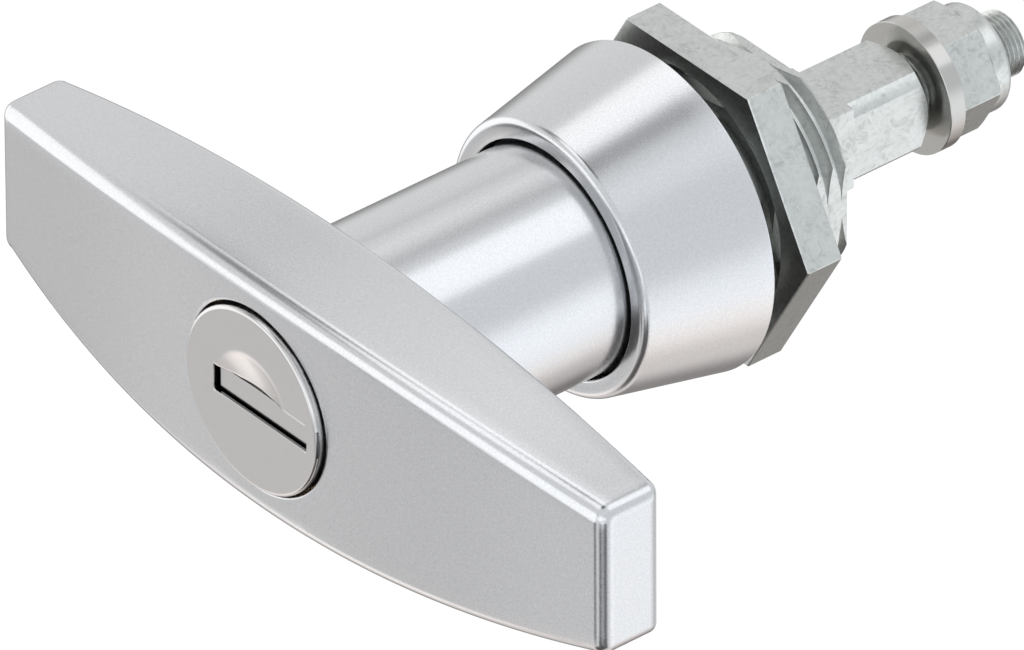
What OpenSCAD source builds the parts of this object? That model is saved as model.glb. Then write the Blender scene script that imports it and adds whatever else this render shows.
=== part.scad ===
// Locking T-handle for a quarter-turn latch, on a threaded panel body.
// X runs along the grip, Y along the spindle towards the rear, Z up.
// The origin is on the spindle axis, in the face that rests on the panel.

/* [Grip] */
// Length of the grip bar, end to end
grip_length = 78; // [66:1:110]
// Height of the grip bar at its middle
grip_height = 22.8; // [21:0.2:30]
// Height of the grip bar at its ends
grip_end_height = 14.3; // [10:0.1:19]
// Depth of the grip bar at its middle, front to back
grip_depth = 11; // [9:0.5:14]
// Depth of the grip bar at its ends
grip_end_depth = 6.3; // [4:0.1:8]
// Radius that rounds the corners of the grip's ends
grip_corner_r = 1.1; // [0.4:0.1:1.8]

/* [Stem] */
// Diameter of the round stem behind the grip
stem_d = 20.85; // [20.6:0.05:22.5]
// Distance from the front of the grip to the front of the escutcheon
grip_reach = 31.2; // [30:0.1:45]
// Diameter of the journal that turns in the threaded body
journal_d = 14; // [13.8:0.1:15]
// How far the journal stands out behind the threaded body
journal_out = 2; // [1.9:0.1:3]

/* [Escutcheon] */
// Depth of the escutcheon, front face to panel
escutcheon_depth = 12.2; // [12:0.1:18]
// Diameter of the escutcheon's cone in its front plane
escutcheon_front_d = 25; // [24.6:0.1:30]
// Diameter of the escutcheon where it meets the panel
escutcheon_back_d = 29.8; // [29.2:0.1:40]
// Radius that rounds the escutcheon's front edge
escutcheon_lip_r = 0.8; // [0.3:0.1:1]
// Gap between the stem and the escutcheon's hole, each side
stem_gap = 0.32; // [0.2:0.01:0.4]

/* [Threaded body] */
// Thread diameter of the body
body_d = 22; // [21:0.5:24]
// Thread pitch of the body
body_pitch = 1.5; // [1:0.25:2]
// Width across the four flats of the body
body_flats = 20.1; // [19:0.1:20.8]
// Length of the body behind the panel face
body_reach = 11.9; // [10:0.1:30]
// Diameter of the body's flange inside the escutcheon
flange_d = 25.4; // [24.8:0.1:26]
// Thickness of that flange
flange_t = 1.5; // [1.2:0.1:1.6]
// Thickness of the rubber ring under the flange
seal_t = 0.65; // [0.4:0.05:0.7]

/* [Mounting nut] */
// Width across the flats of the mounting nut
nut_flats = 27; // [26:0.5:36]
// Thickness of the mounting nut
nut_t = 3.7; // [3:0.1:5]
// Space for the panel between the escutcheon and the nut
panel_gap = 3; // [1:0.1:4]

/* [Spindle] */
// Side of the square spindle
spindle_side = 8; // [7:0.1:8.2]
// Distance from the panel face to the spindle's end
spindle_reach = 26; // [24:0.1:90]
// Distance from the panel face to where the square's corners are turned down
spindle_sharp_reach = 17.8; // [15:0.1:20]
// Diameter over the turned corners of the square
spindle_turned_d = 10.05; // [9.9:0.05:10.6]
// Diameter of the cross pin that holds the spindle
spindle_pin_d = 3; // [2:0.1:3.5]

/* [Spindle end] */
// Thread diameter of the stud in the spindle's end
stud_d = 6; // [5:0.5:6]
// Thread pitch of the stud
stud_pitch = 0.5; // [0.4:0.05:1.25]
// How far the stud stands out behind the spindle
stud_out = 11.8; // [10:0.1:20]
// Gap between the spindle's end and the washer
washer_gap = 0.8; // [0:0.1:1.5]
// How deep the stud is screwed into the spindle
stud_in = 12; // [8:0.5:14]
// Outer diameter of the washer
washer_d = 12; // [11:0.5:18]
// Thickness of the washer
washer_t = 1.6; // [1:0.1:2]
// Width across the flats of the lock nut
lock_nut_flats = 10; // [9:0.5:11]
// Length of the lock nut's hexagon
lock_nut_hex = 4.25; // [3:0.05:5]
// Whole height of the lock nut with its collar
lock_nut_h = 6.2; // [5.8:0.1:6.5]
// Diameter of the lock nut's round collar
lock_nut_collar_d = 9.8; // [9.2:0.1:9.8]

/* [Lock] */
// Diameter of the bore that holds the lock
lock_bore_d = 17.5; // [17.3:0.05:18]
// Gap round the lock's front cap, each side
cap_gap = 0.25; // [0.2:0.05:0.5]
// How far the cap stands out of the grip
cap_proud = 0.53; // [0.2:0.01:0.55]
// Thickness of the cap's sheet
cap_sheet = 0.3; // [0.2:0.05:0.35]
// Depth of the cap behind the grip's front
cap_skirt = 2.2; // [1.5:0.1:3]
// Width of the key slot in the cap
slot_w = 12; // [11:0.1:12]
// Height of the key slot in the cap
slot_h = 2.55; // [2.3:0.05:2.6]
// How far the slot's middle lies to the right of the axis
slot_shift = 1.2; // [0.8:0.1:1.25]
// Radius of the dished finger guide above the slot
dish_r = 4.4; // [3.6:0.1:4.4]
// Depth of the dish at its middle
dish_depth = 0.6; // [0.4:0.05:0.8]
// Diameter of the lock plug
plug_d = 12.8; // [12.6:0.1:13.2]
// Length of the lock barrel
barrel_length = 23; // [20:0.1:24]
// Distance from one wafer to the next
wafer_pitch = 3.2; // [2.6:0.1:3.4]
// Thickness of a wafer
wafer_t = 1.2; // [1.2:0.05:1.5]
// Travel of a wafer out of the plug
wafer_travel = 0.7; // [0.4:0.05:0.7]

/* [Bolt and detent] */
// Radial travel of the locking bolt
bolt_travel = 1.6; // [1:0.1:1.6]
// Thickness of the locking bolt
bolt_t = 2.4; // [2:0.1:2.5]
// Width of the bolt's nose
bolt_nose_w = 5; // [4:0.1:6]
// Diameter of the detent balls
ball_d = 2.4; // [2:0.1:2.6]
// Travel of a detent ball into its pocket
ball_travel = 0.7; // [0.4:0.05:0.7]
// Quarter turn of the handle between its stops
quarter_turn = 90; // [60:5:90]

/* [Hidden] */
$fn = 96;
wafer_count = 5;

// Clearances
turn_gap = 0.05;
slide_gap = 0.05;
seat_gap = 0.1;
thread_gap = 0.06;
cut = 1;
seam = 0.02;

// Places along the axis
escutcheon_front = -escutcheon_depth;
grip_front = escutcheon_front - grip_reach;
grip_back = grip_front + grip_depth;
cap_front = grip_front - cap_proud;
seal_back = -seat_gap / 2;
flange_back = seal_back - seal_t;
flange_front = flange_back - flange_t;
stem_back = flange_front - 0.2;
nut_front = panel_gap;
nut_back = nut_front + nut_t;
journal_back = body_reach + journal_out;
stud_front = spindle_reach - stud_in;
stud_back = spindle_reach + stud_out;
washer_front = spindle_reach + washer_gap;
washer_back = washer_front + washer_t;
lock_nut_back = washer_back + lock_nut_h;

// Grip arcs, from their chords and rises
function arc_r(chord, rise) = chord * chord / (8 * rise) + rise / 2;
grip_front_r = arc_r(grip_length, grip_depth - grip_end_depth);
grip_edge_r = arc_r(grip_length, (grip_height - grip_end_height) / 2);

// Stem
stem_r = stem_d / 2;
escutcheon_bore_r = stem_r + stem_gap;
journal_r = journal_d / 2;
socket_side = spindle_side + 2 * turn_gap;

// O-ring
o_ring_section = 1.3;
o_ring_front = escutcheon_front + 0.7;
o_ring_outer_r = escutcheon_bore_r - turn_gap;
o_ring_mid_r = o_ring_outer_r - o_ring_section / 2;
o_ring_groove_r = o_ring_mid_r - o_ring_section / 2 - turn_gap;

// Stop pin, in an arc groove of the stem's rear face
stop_pin_d = 1.8;
stop_ring_r = (stem_r + journal_r) / 2 + 0.2;
stop_depth = 1.5;
stop_pin_front = stem_back - stop_depth + 0.15;
stop_half = asin((stop_pin_d / 2 + slide_gap) / stop_ring_r);

// Detent
ball_r = ball_d / 2;
detent_y = stem_back - stop_depth - ball_r - 0.45;
ball_rest = stem_r - ball_r - 0.07;
detent_hole_d = ball_d + 2 * slide_gap;
detent_wire = 0.4;
detent_curls = 11;

// Locking bolt
bolt_back = detent_y - ball_r - 0.5;
bolt_front = bolt_back - bolt_t;
bolt_top_r = stem_r - 0.12;
bolt_body_w = 8;
bolt_foot = 3.6;
bolt_shoulder = bolt_top_r - 3.4;
notch_r = bolt_top_r + bolt_travel + 0.25;

// Drive cam on the plug's tail, with its crank pin
cam_r = 6.5;
cam_back = bolt_front - 0.3;
cam_t = 3.2;
cam_front = cam_back - cam_t;
crank_r = bolt_travel;
crank_pin_r = 1;
crank_slack = 0.25 * bolt_travel;
tail_side = 5;
cam_pin_d = 1.5;
cam_pin_y = cam_front + cam_t / 2 - 0.4;
crank_pin_back = bolt_back - 0.15;
tail_back = cam_back - 0.8;

// Lock bore and barrel
lock_bore_r = lock_bore_d / 2;
cap_r = lock_bore_r - cap_gap;
cap_wall = 0.5;
cap_edge = 0.3;
dish_ball_r = (dish_r * dish_r + dish_depth * dish_depth) / (2 * dish_depth);
head_r = cap_r - cap_wall - seat_gap;
head_front = cap_front + cap_sheet + seat_gap;
head_back = grip_front + 3.6;
barrel_r = lock_bore_r - turn_gap;
barrel_front = head_back + 0.3;
barrel_back = barrel_front + barrel_length;
plug_r = plug_d / 2;
plug_back = barrel_back - seat_gap;
barrel_pin_d = 2;
barrel_pin_y = barrel_back - 3;
barrel_pin_top = plug_r + 0.5;

// Clip behind the barrel
spigot_r = 5;
clip_t = 0.8;
clip_front = barrel_back + seat_gap;
clip_r = 7.3;
clip_groove_r = spigot_r - 0.6;
clip_room_r = clip_r + 0.1;
clip_room_back = clip_front + clip_t + 0.4;
cavity_r = cam_r + 0.3;
spigot_back = clip_front + clip_t + 0.7;

// Key slot, key way and shutter
slot_left = slot_shift - slot_w / 2;
slot_right = slot_shift + slot_w / 2;
slot_half = slot_h / 2;
key_half_w = 4.2;
key_half_h = 1.15;
shutter_t = 0.5;
shutter_front = cap_front + 0.4;
shutter_left = slot_left + 0.4;
shutter_right = slot_right - 0.4;
shutter_bottom = -slot_half + 0.1;
shutter_top = slot_half - 0.27;
shutter_ear_w = 0.4;
shutter_ear_r = 0.38;
shutter_axis_y = shutter_front + shutter_ear_r;
shutter_axis_z = slot_half + 0.48;
shutter_swing_r = norm([shutter_axis_z - shutter_bottom, shutter_ear_r]);
shutter_pin_r = 0.25;
pocket_left = shutter_left - 0.7;
pocket_right = shutter_right + 0.15;
pocket_bottom = shutter_bottom - 0.25;
pocket_top = shutter_axis_z + 0.55;
pocket_back = shutter_axis_y + shutter_swing_r + 0.15;
shutter_wire = 0.18;
shutter_curl_r = 0.36;
shutter_curls = 3;

// Wafers
wafer_first_y = head_back + 2.8;
wafer_r = plug_r - 0.1;
wafer_half_h = 3.4;
wafer_window_w = 10;
wafer_window_h = 2.7;
wafer_notch_w = 5.6;
wafer_notch_h = 1.4;
groove_r = wafer_r + wafer_travel + 0.15;
wafer_spring_wire = 0.2;
wafer_spring_d = 1.05;
wafer_spring_length = 3.8;
wafer_spring_curls = 4;

// Retaining washer and ring on the journal
ret_washer_t = 0.4;
ret_washer_r = journal_r + 1.6;
ret_washer_front = body_reach + 0.05;
ring_t = 0.9;
ring_front = ret_washer_front + ret_washer_t + 0.05;
ring_r = journal_r + 1.2;
ring_groove_r = journal_r - 0.6;

// Threads: height of the vee
function thread_h(pitch) = 0.613 * pitch;
thread_front = 0.4;
neck_back = thread_front + 0.6;
nut_front_bevel = 1;
nut_back_bevel = 0.6;
thread_end_bevel = 0.25;

// Cross pin of the spindle
spindle_pin_y = body_reach / 2 - 2;

// Cone that takes the corners off the spindle's rear end
spindle_end_r = spindle_side / 2 + 0.02;
spindle_end_drop = 0.75 * (spindle_side - spindle_end_r);

// Lock nut's collar and nylon ring
collar_front = washer_back + lock_nut_hex;
collar_round_r = 0.6;
insert_r = 4;
insert_back = lock_nut_back - 0.55;

// Cone of 30 degrees that takes the corners off the lock nut's hexagon
lock_nut_cone_r = lock_nut_flats / 2 + 0.15;
lock_nut_cone_drop = 0.577 * (lock_nut_flats - lock_nut_cone_r);

// Helpers: everything round lies along Y
module rod(r, from, to) {
    translate([0, from, 0]) rotate([-90, 0, 0]) cylinder(r = r, h = to - from);
}

module spun(points) {
    rotate([-90, 0, 0]) rotate_extrude() polygon(points);
}

module tube_y(r_out, r_in, from, to) {
    spun([[r_in, from], [r_out, from], [r_out, to], [r_in, to]]);
}

module bar(x0, x1, y0, y1, z0, z1) {
    translate([x0, y0, z0]) cube([x1 - x0, y1 - y0, z1 - z0]);
}

module hex_y(flats, from, to) {
    translate([0, from, 0]) rotate([-90, 0, 0])
        cylinder(r = flats / sqrt(3), h = to - from, $fn = 6);
}

module quarter_turns() {
    for (a = [0, 90, 180, 270]) rotate([0, a, 0]) children();
}

// A threaded rod along Y: vee grooves at the pitch, counted from the front, with a bevelled rear end
module threaded_rod(d, pitch, from, to, grow = 0) {
    r = d / 2 + grow;
    depth = thread_h(pitch);
    crest = pitch / 8;
    count = ceil((to - from) / pitch);
    tops = [for (i = [0 : count - 1]) each [
        [r - depth, from + i * pitch],
        [r, from + (i + 0.5) * pitch - crest / 2],
        [r, from + (i + 0.5) * pitch + crest / 2]]];
    far = from + count * pitch;
    bevel = thread_end_bevel;
    intersection() {
        spun(concat([[0, from]], tops, [[r - depth, far], [0, far]]));
        spun([[0, from], [r + cut, from], [r + cut, to - bevel - cut], [r - bevel, to], [0, to]]);
    }
}

// One unbroken wire, swept along the points of a path
module swept_wire(path, wire_r, sides = 6) {
    n = len(path);
    steps = [for (i = [0 : n - 1]) path[min(i + 1, n - 1)] - path[max(i - 1, 0)]];
    ring = [for (i = [0 : n - 1])
        let (t = steps[i] / norm(steps[i]), s = cross(t, [1, 0, 0.001]), u = s / norm(s), v = cross(t, u))
        for (k = [0 : sides - 1]) let (a = k * 360 / sides) path[i] + wire_r * (cos(a) * u + sin(a) * v)];
    walls = [for (i = [0 : n - 2]) for (k = [0 : sides - 1])
        let (a = i * sides + k, b = i * sides + (k + 1) % sides)
        each [[a, b, a + sides], [b, b + sides, a + sides]]];
    last = (n - 1) * sides;
    near_end = [for (k = [1 : sides - 2]) [0, k + 1, k]];
    far_end = [for (k = [1 : sides - 2]) [last, last + k, last + k + 1]];
    polyhedron(points = ring, faces = concat(walls, near_end, far_end));
}

// A coil along X from its middle, with eight rings to a curl
function coil_path(length, r, curls) =
    [for (i = [0 : curls * 8]) let (a = i * 45) [length * (i / (curls * 8) - 0.5), r * cos(a), r * sin(a)]];

function least_gap(path, wire) =
    min([for (i = [0 : len(path) - 9]) for (j = [i + 6 : len(path) - 1]) norm(path[i] - path[j])]) - wire;

// Outline of the grip seen from the front, before its depth is cut
module grip_front_outline() {
    half = grip_length / 2;
    c = grip_corner_r;
    end_half = grip_end_height / 2;
    intersection() {
        translate([0, grip_height / 2 - grip_edge_r]) circle(r = grip_edge_r, $fn = 360);
        translate([0, grip_edge_r - grip_height / 2]) circle(r = grip_edge_r, $fn = 360);
        union() {
            square([grip_length - 2 * c, 2 * grip_height], center = true);
            square([grip_length, 2 * (end_half - c)], center = true);
            for (x = [-half + c, half - c]) for (z = [-end_half + c, end_half - c])
                translate([x, z]) circle(r = c, $fn = 32);
        }
    }
}

// Outline of the grip seen from above
module grip_top_outline() {
    half = grip_length / 2;
    c = grip_corner_r;
    front = grip_depth - grip_end_depth;
    intersection() {
        translate([0, grip_front_r]) circle(r = grip_front_r, $fn = 360);
        union() {
            translate([-half + c, 0]) square([grip_length - 2 * c, grip_depth]);
            translate([-half, front + c]) square([grip_length, grip_end_depth - 2 * c]);
            for (x = [-half + c, half - c]) for (y = [front + c, grip_depth - c])
                translate([x, y]) circle(r = c, $fn = 32);
        }
    }
}

module grip_bar() {
    intersection() {
        translate([0, grip_back + cut, 0]) rotate([90, 0, 0])
            linear_extrude(grip_depth + 2 * cut) grip_front_outline();
        translate([0, grip_front, -grip_height]) linear_extrude(2 * grip_height) grip_top_outline();
    }
}

module stop_groove() {
    rotate([0, -quarter_turn - stop_half, 0]) rotate([-90, 0, 0])
        rotate_extrude(angle = quarter_turn + 2 * stop_half)
            translate([stop_ring_r - stop_pin_d / 2 - slide_gap, stem_back - stop_depth])
                square([stop_pin_d + 2 * slide_gap, stop_depth + cut]);
}

// Grip, stem and journal are one casting
module t_grip() {
    color("silver") difference() {
        union() {
            grip_bar();
            rod(stem_r, grip_back - 2, stem_back);
            rod(journal_r, stem_back - cut, journal_back);
        }
        rod(lock_bore_r, grip_front - cut, barrel_back);
        rod(clip_room_r, barrel_back - cut, clip_room_back);
        rod(cavity_r, clip_room_back - cut, bolt_front - slide_gap);
        bar(-bolt_body_w / 2 - slide_gap, bolt_body_w / 2 + slide_gap, bolt_front - slide_gap - seam,
            bolt_back + slide_gap, -bolt_foot - 0.4, bolt_shoulder + bolt_travel + 0.3);
        bar(-bolt_nose_w / 2 - slide_gap, bolt_nose_w / 2 + slide_gap, bolt_front - slide_gap,
            bolt_back + slide_gap, 0, stem_r + cut);
        translate([-stem_r - cut, detent_y, 0]) rotate([0, 90, 0])
            cylinder(d = detent_hole_d, h = stem_d + 2 * cut);
        tube_y(stem_r + cut, o_ring_groove_r, o_ring_front, o_ring_front + o_ring_section + 2 * seat_gap);
        tube_y(journal_r + cut, ring_groove_r, ring_front - seat_gap / 2,
               ring_front + ring_t + seat_gap / 2);
        stop_groove();
        bar(-socket_side / 2, socket_side / 2, stem_back - 0.1, journal_back + cut,
            -socket_side / 2, socket_side / 2);
        translate([0, spindle_pin_y, -journal_r - cut])
            cylinder(d = spindle_pin_d, h = journal_d + 2 * cut);
        translate([0, barrel_pin_y, -stem_r - cut])
            cylinder(d = barrel_pin_d + 2 * turn_gap, h = stem_r);
    }
}

module stem_o_ring() {
    color("black") rotate([-90, 0, 0]) rotate_extrude()
        translate([o_ring_mid_r, o_ring_front + o_ring_section / 2 + seat_gap])
            circle(d = o_ring_section, $fn = 32);
}

module detent_pockets() {
    for (a = [0, quarter_turn]) for (side = [0, 180]) rotate([0, a + side, 0])
        translate([ball_rest + ball_travel, detent_y, 0]) sphere(r = ball_r + 0.07, $fn = 48);
}

module bolt_notches() {
    for (a = [0, quarter_turn]) rotate([0, a, 0]) intersection() {
        bar(-bolt_nose_w / 2 - 0.15, bolt_nose_w / 2 + 0.15, bolt_front - 0.15, bolt_back + 0.15,
            0, notch_r + cut);
        rod(notch_r, bolt_front - cut, bolt_back + cut);
    }
}

// Cone with a rounded front edge, bored for the stem and recessed for the flange
module escutcheon() {
    front_r = escutcheon_front_d / 2;
    back_r = escutcheon_back_d / 2;
    lean = atan((back_r - front_r) / escutcheon_depth);
    c = escutcheon_lip_r;
    lip_x = front_r + c * tan(lean) - c / cos(lean);
    color("gainsboro") difference() {
        union() {
            spun([[escutcheon_bore_r, escutcheon_front], [lip_x, escutcheon_front],
                  [lip_x + c * cos(lean), escutcheon_front + c - c * sin(lean)],
                  [back_r, 0], [flange_d / 2 + turn_gap, 0], [flange_d / 2 + turn_gap, flange_front],
                  [escutcheon_bore_r, flange_front]]);
            rotate([-90, 0, 0]) rotate_extrude()
                translate([lip_x, escutcheon_front + c]) circle(r = c, $fn = 48);
        }
        bolt_notches();
        detent_pockets();
    }
}

module body_flats_block(grow = 0) {
    w = body_flats / 2 + grow;
    bar(-w, w, -cut, body_reach + cut, -w, w);
}

// Flange, threaded shank with four flats, and the bore for the journal
module threaded_body() {
    color("lightsteelblue") difference() {
        union() {
            rod(flange_d / 2, flange_front, flange_back);
            rod(body_d / 2 - thread_h(body_pitch), flange_back - flange_t / 2, neck_back);
            intersection() {
                threaded_rod(body_d, body_pitch, thread_front, body_reach);
                body_flats_block();
            }
        }
        rod(journal_r + turn_gap, flange_front - cut, body_reach + cut);
        translate([stop_ring_r, flange_front - cut, 0]) rotate([-90, 0, 0])
            cylinder(d = stop_pin_d, h = flange_t + cut, $fn = 48);
    }
}

// Cone that bevels the mouth of a bore at y; way is 1 in a front face and -1 in a rear one
module bore_bevel(bore_r, y, bevel, way) {
    past = y - way * cut;
    floor_y = y + way * (bevel + 0.1);
    spun([[0, past], [bore_r + bevel + cut, past], [bore_r - 0.1, floor_y], [0, floor_y]]);
}

module mounting_nut() {
    bore_r = body_d / 2 + thread_gap;
    color("lightsteelblue") difference() {
        hex_y(nut_flats, nut_front, nut_back);
        intersection() {
            threaded_rod(body_d, body_pitch, thread_front, body_reach, thread_gap);
            rod(bore_r + cut, nut_front - cut, nut_back + cut);
        }
        bore_bevel(bore_r, nut_front, nut_front_bevel, 1);
        bore_bevel(bore_r, nut_back, nut_back_bevel, -1);
    }
}

module panel_seal() {
    color("dimgray") tube_y(flange_d / 2 - 0.1, body_d / 2 - 0.6, flange_back, seal_back);
}

module stop_pin() {
    color("gray") translate([stop_ring_r, stop_pin_front, 0]) rotate([-90, 0, 0])
        cylinder(d = stop_pin_d, h = flange_back - 0.1 - stop_pin_front, $fn = 48);
}

module detent_spring() {
    length = 2 * (ball_rest - ball_r - 0.05) - detent_wire;
    path = coil_path(length, ball_r - 0.1 - detent_wire / 2, detent_curls);
    echo(detent_spring_least_gap = least_gap(path, detent_wire));
    color("gray") translate([0, detent_y, 0]) swept_wire(path, detent_wire / 2);
}

module detent_ball(side) {
    color("silver") translate([side * ball_rest, detent_y, 0]) sphere(r = ball_r, $fn = 48);
}

module detent_ball_left() { detent_ball(-1); }
module detent_ball_right() { detent_ball(1); }

// Sleeve with four long grooves for the wafers
module lock_barrel() {
    groove_from = wafer_first_y - 1;
    groove_to = wafer_y(wafer_count - 1) + wafer_t + 1;
    color("tan") difference() {
        rod(barrel_r, barrel_front, barrel_back);
        rod(plug_r + turn_gap, barrel_front - cut, barrel_back + cut);
        quarter_turns() intersection() {
            rod(groove_r, groove_from, groove_to);
            bar(0, groove_r + cut, groove_from, groove_to, -wafer_half_h - 0.1, wafer_half_h + 0.1);
        }
        translate([0, barrel_pin_y, -barrel_r - cut])
            cylinder(d = barrel_pin_d, h = barrel_r + cut - barrel_pin_top + 0.1);
    }
}

module barrel_pin() {
    color("gray") translate([0, barrel_pin_y, -stem_r + 0.1])
        cylinder(d = barrel_pin_d, h = stem_r - 0.1 - barrel_pin_top, $fn = 48);
}

function wafer_y(i) = wafer_first_y + i * wafer_pitch;

// Head with the shutter's pocket, plug with its key way and wafer slots, square tail
module lock_plug() {
    color("goldenrod") difference() {
        union() {
            rod(head_r, head_front, head_back);
            rod(plug_r, head_back - cut, plug_back);
            rod(spigot_r, plug_back - cut, spigot_back);
            bar(-tail_side / 2, tail_side / 2, spigot_back - cut, tail_back,
                -tail_side / 2, tail_side / 2);
        }
        bar(pocket_left, pocket_right, head_front - cut, pocket_back, pocket_bottom, pocket_top);
        bar(-key_half_w, key_half_w, head_front, wafer_y(wafer_count - 1) + wafer_t + 2,
            -key_half_h, key_half_h);
        for (i = [0 : wafer_count - 1])
            bar(-plug_r - cut, plug_r + cut, wafer_y(i) - slide_gap, wafer_y(i) + wafer_t + slide_gap,
                -wafer_half_h - slide_gap, wafer_half_h + slide_gap);
        tube_y(spigot_r + cut, clip_groove_r, clip_front - slide_gap, clip_front + clip_t + slide_gap);
        for (side = [[pocket_left - 0.5, pocket_left + cut], [pocket_right - cut, pocket_right + 0.3]])
            translate([side[0], shutter_axis_y, shutter_axis_z]) rotate([0, 90, 0])
                cylinder(r = shutter_pin_r, h = side[1] - side[0], $fn = 32);
        dish_ball(cap_sheet + seat_gap);
        translate([0, cam_pin_y, -tail_side]) cylinder(d = cam_pin_d, h = 2 * tail_side, $fn = 48);
    }
}

// Large ball in front of the cap that presses the dish, grown for the sheet's rear side
module dish_ball(grow) {
    translate([0, cap_front + dish_depth - dish_ball_r, 0]) sphere(r = dish_ball_r + grow);
}

// Pressed sheet cap: flat below, dished above the slot
module plug_cap() {
    skirt_back = grip_front + cap_skirt;
    dish_back = cap_front + dish_depth + cap_sheet + cut;
    color("silver") difference() {
        union() {
            spun([[0, cap_front], [cap_r - cap_edge, cap_front], [cap_r, cap_front + cap_edge],
                  [cap_r, skirt_back], [cap_r - cap_wall, skirt_back],
                  [cap_r - cap_wall, cap_front + cap_sheet], [0, cap_front + cap_sheet]]);
            intersection() {
                dish_ball(cap_sheet);
                bar(-cap_r, cap_r, cap_front + cap_sheet / 2, dish_back, slot_half, cap_r);
            }
        }
        intersection() {
            dish_ball(0);
            bar(-cap_r, cap_r, cap_front - cut, dish_back, slot_half - seam, cap_r);
        }
        bar(slot_left, slot_right, cap_front - cut, dish_back, -slot_half, slot_half);
    }
}

// Open ring that keeps the plug in the barrel
module plug_clip() {
    color("gray") difference() {
        tube_y(clip_r, clip_groove_r + slide_gap, clip_front, clip_front + clip_t);
        bar(-1.6, 1.6, clip_front - cut, clip_front + clip_t + cut, -clip_r - cut, 0);
    }
}

// Dust shutter, hung from two ears behind the slot
module keyway_shutter() {
    ears = [shutter_left, shutter_right - shutter_ear_w];
    edge_r = shutter_t / 2;
    color("silver") difference() {
        union() {
            bar(shutter_left, shutter_right, shutter_front, shutter_front + shutter_t,
                shutter_bottom + edge_r, shutter_top);
            translate([shutter_left, shutter_front + edge_r, shutter_bottom + edge_r]) rotate([0, 90, 0])
                cylinder(r = edge_r, h = shutter_right - shutter_left, $fn = 32);
            for (x = ears) {
                bar(x, x + shutter_ear_w, shutter_front, shutter_front + shutter_t,
                    shutter_top - 0.2, shutter_axis_z);
                translate([x, shutter_axis_y, shutter_axis_z]) rotate([0, 90, 0])
                    cylinder(r = shutter_ear_r, h = shutter_ear_w, $fn = 32);
            }
        }
        for (x = ears) translate([x - cut / 2, shutter_axis_y, shutter_axis_z]) rotate([0, 90, 0])
            cylinder(r = shutter_pin_r + 0.03, h = shutter_ear_w + cut, $fn = 32);
    }
}

module shutter_pins() {
    color("gray") for (side = [[pocket_left - 0.4, shutter_left + shutter_ear_w + 0.05],
                               [shutter_right - shutter_ear_w - 2.1, pocket_right + 0.2]])
        translate([side[0], shutter_axis_y, shutter_axis_z]) rotate([0, 90, 0])
            cylinder(r = shutter_pin_r - 0.01, h = side[1] - side[0], $fn = 32);
}

// Small torsion spring round the right hand pin
module shutter_spring() {
    length = 1.8;
    coil = [for (p = coil_path(length, shutter_curl_r, shutter_curls))
        p + [shutter_right - shutter_ear_w - 0.2 - length / 2, shutter_axis_y, shutter_axis_z]];
    echo(shutter_spring_least_gap = least_gap(coil, shutter_wire));
    color("gray") swept_wire(coil, shutter_wire / 2);
}

// A wafer is a slice of the plug's circle with a window for the key and a notch for its spring
module wafer(i) {
    y = wafer_y(i);
    color("khaki") difference() {
        intersection() {
            rod(wafer_r, y, y + wafer_t);
            bar(-wafer_r, wafer_r, y, y + wafer_t, -wafer_half_h, wafer_half_h);
        }
        bar(-wafer_window_w / 2, wafer_window_w / 2, y - cut, y + wafer_t + cut,
            -wafer_window_h / 2, wafer_window_h / 2);
        bar(-wafer_notch_w / 2, wafer_notch_w / 2, y - cut, y + wafer_t + cut,
            -wafer_half_h - cut, -wafer_half_h + wafer_notch_h);
    }
}

module wafer_1() { wafer(0); }
module wafer_2() { wafer(1); }
module wafer_3() { wafer(2); }
module wafer_4() { wafer(3); }
module wafer_5() { wafer(4); }

module wafer_springs() {
    path = coil_path(wafer_spring_length, (wafer_spring_d - wafer_spring_wire) / 2, wafer_spring_curls);
    echo(wafer_spring_least_gap = least_gap(path, wafer_spring_wire));
    color("gray") for (i = [0 : wafer_count - 1])
        translate([0, wafer_y(i) + wafer_t / 2, -wafer_half_h + wafer_notch_h / 2])
            swept_wire(path, wafer_spring_wire / 2);
}

// Disc on the plug's square tail, with the crank pin that works the bolt
module drive_cam() {
    color("darkgray") difference() {
        union() {
            rod(cam_r, cam_front, cam_back);
            translate([-crank_r, 0, 0]) rod(crank_pin_r, cam_back - cut, crank_pin_back);
        }
        bar(-tail_side / 2 - slide_gap, tail_side / 2 + slide_gap, cam_front - cut,
            tail_back + slide_gap, -tail_side / 2 - slide_gap, tail_side / 2 + slide_gap);
        translate([0, cam_pin_y, -cam_r - cut])
            cylinder(d = cam_pin_d + 2 * slide_gap, h = 2 * cam_r + 2 * cut, $fn = 48);
    }
}

module cam_pin() {
    color("gray") translate([0, cam_pin_y, -cam_r + 0.3])
        cylinder(d = cam_pin_d, h = 2 * cam_r - 0.6, $fn = 48);
}

// Bolt that leaves the stem and enters a notch of the escutcheon
module locking_bolt() {
    slot_w0 = -crank_r - crank_pin_r - 0.15;
    slot_w1 = crank_pin_r + 0.15;
    slot_up = crank_pin_r + crank_slack;
    color("darkgray") difference() {
        union() {
            intersection() {
                rod(bolt_top_r, bolt_front, bolt_back);
                bar(-bolt_nose_w / 2, bolt_nose_w / 2, bolt_front, bolt_back, 0, stem_r);
            }
            bar(-bolt_body_w / 2, bolt_body_w / 2, bolt_front, bolt_back, -bolt_foot, bolt_shoulder);
        }
        bar(slot_w0, slot_w1, bolt_front - cut, bolt_back + cut, -slot_up, slot_up);
    }
}

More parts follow.
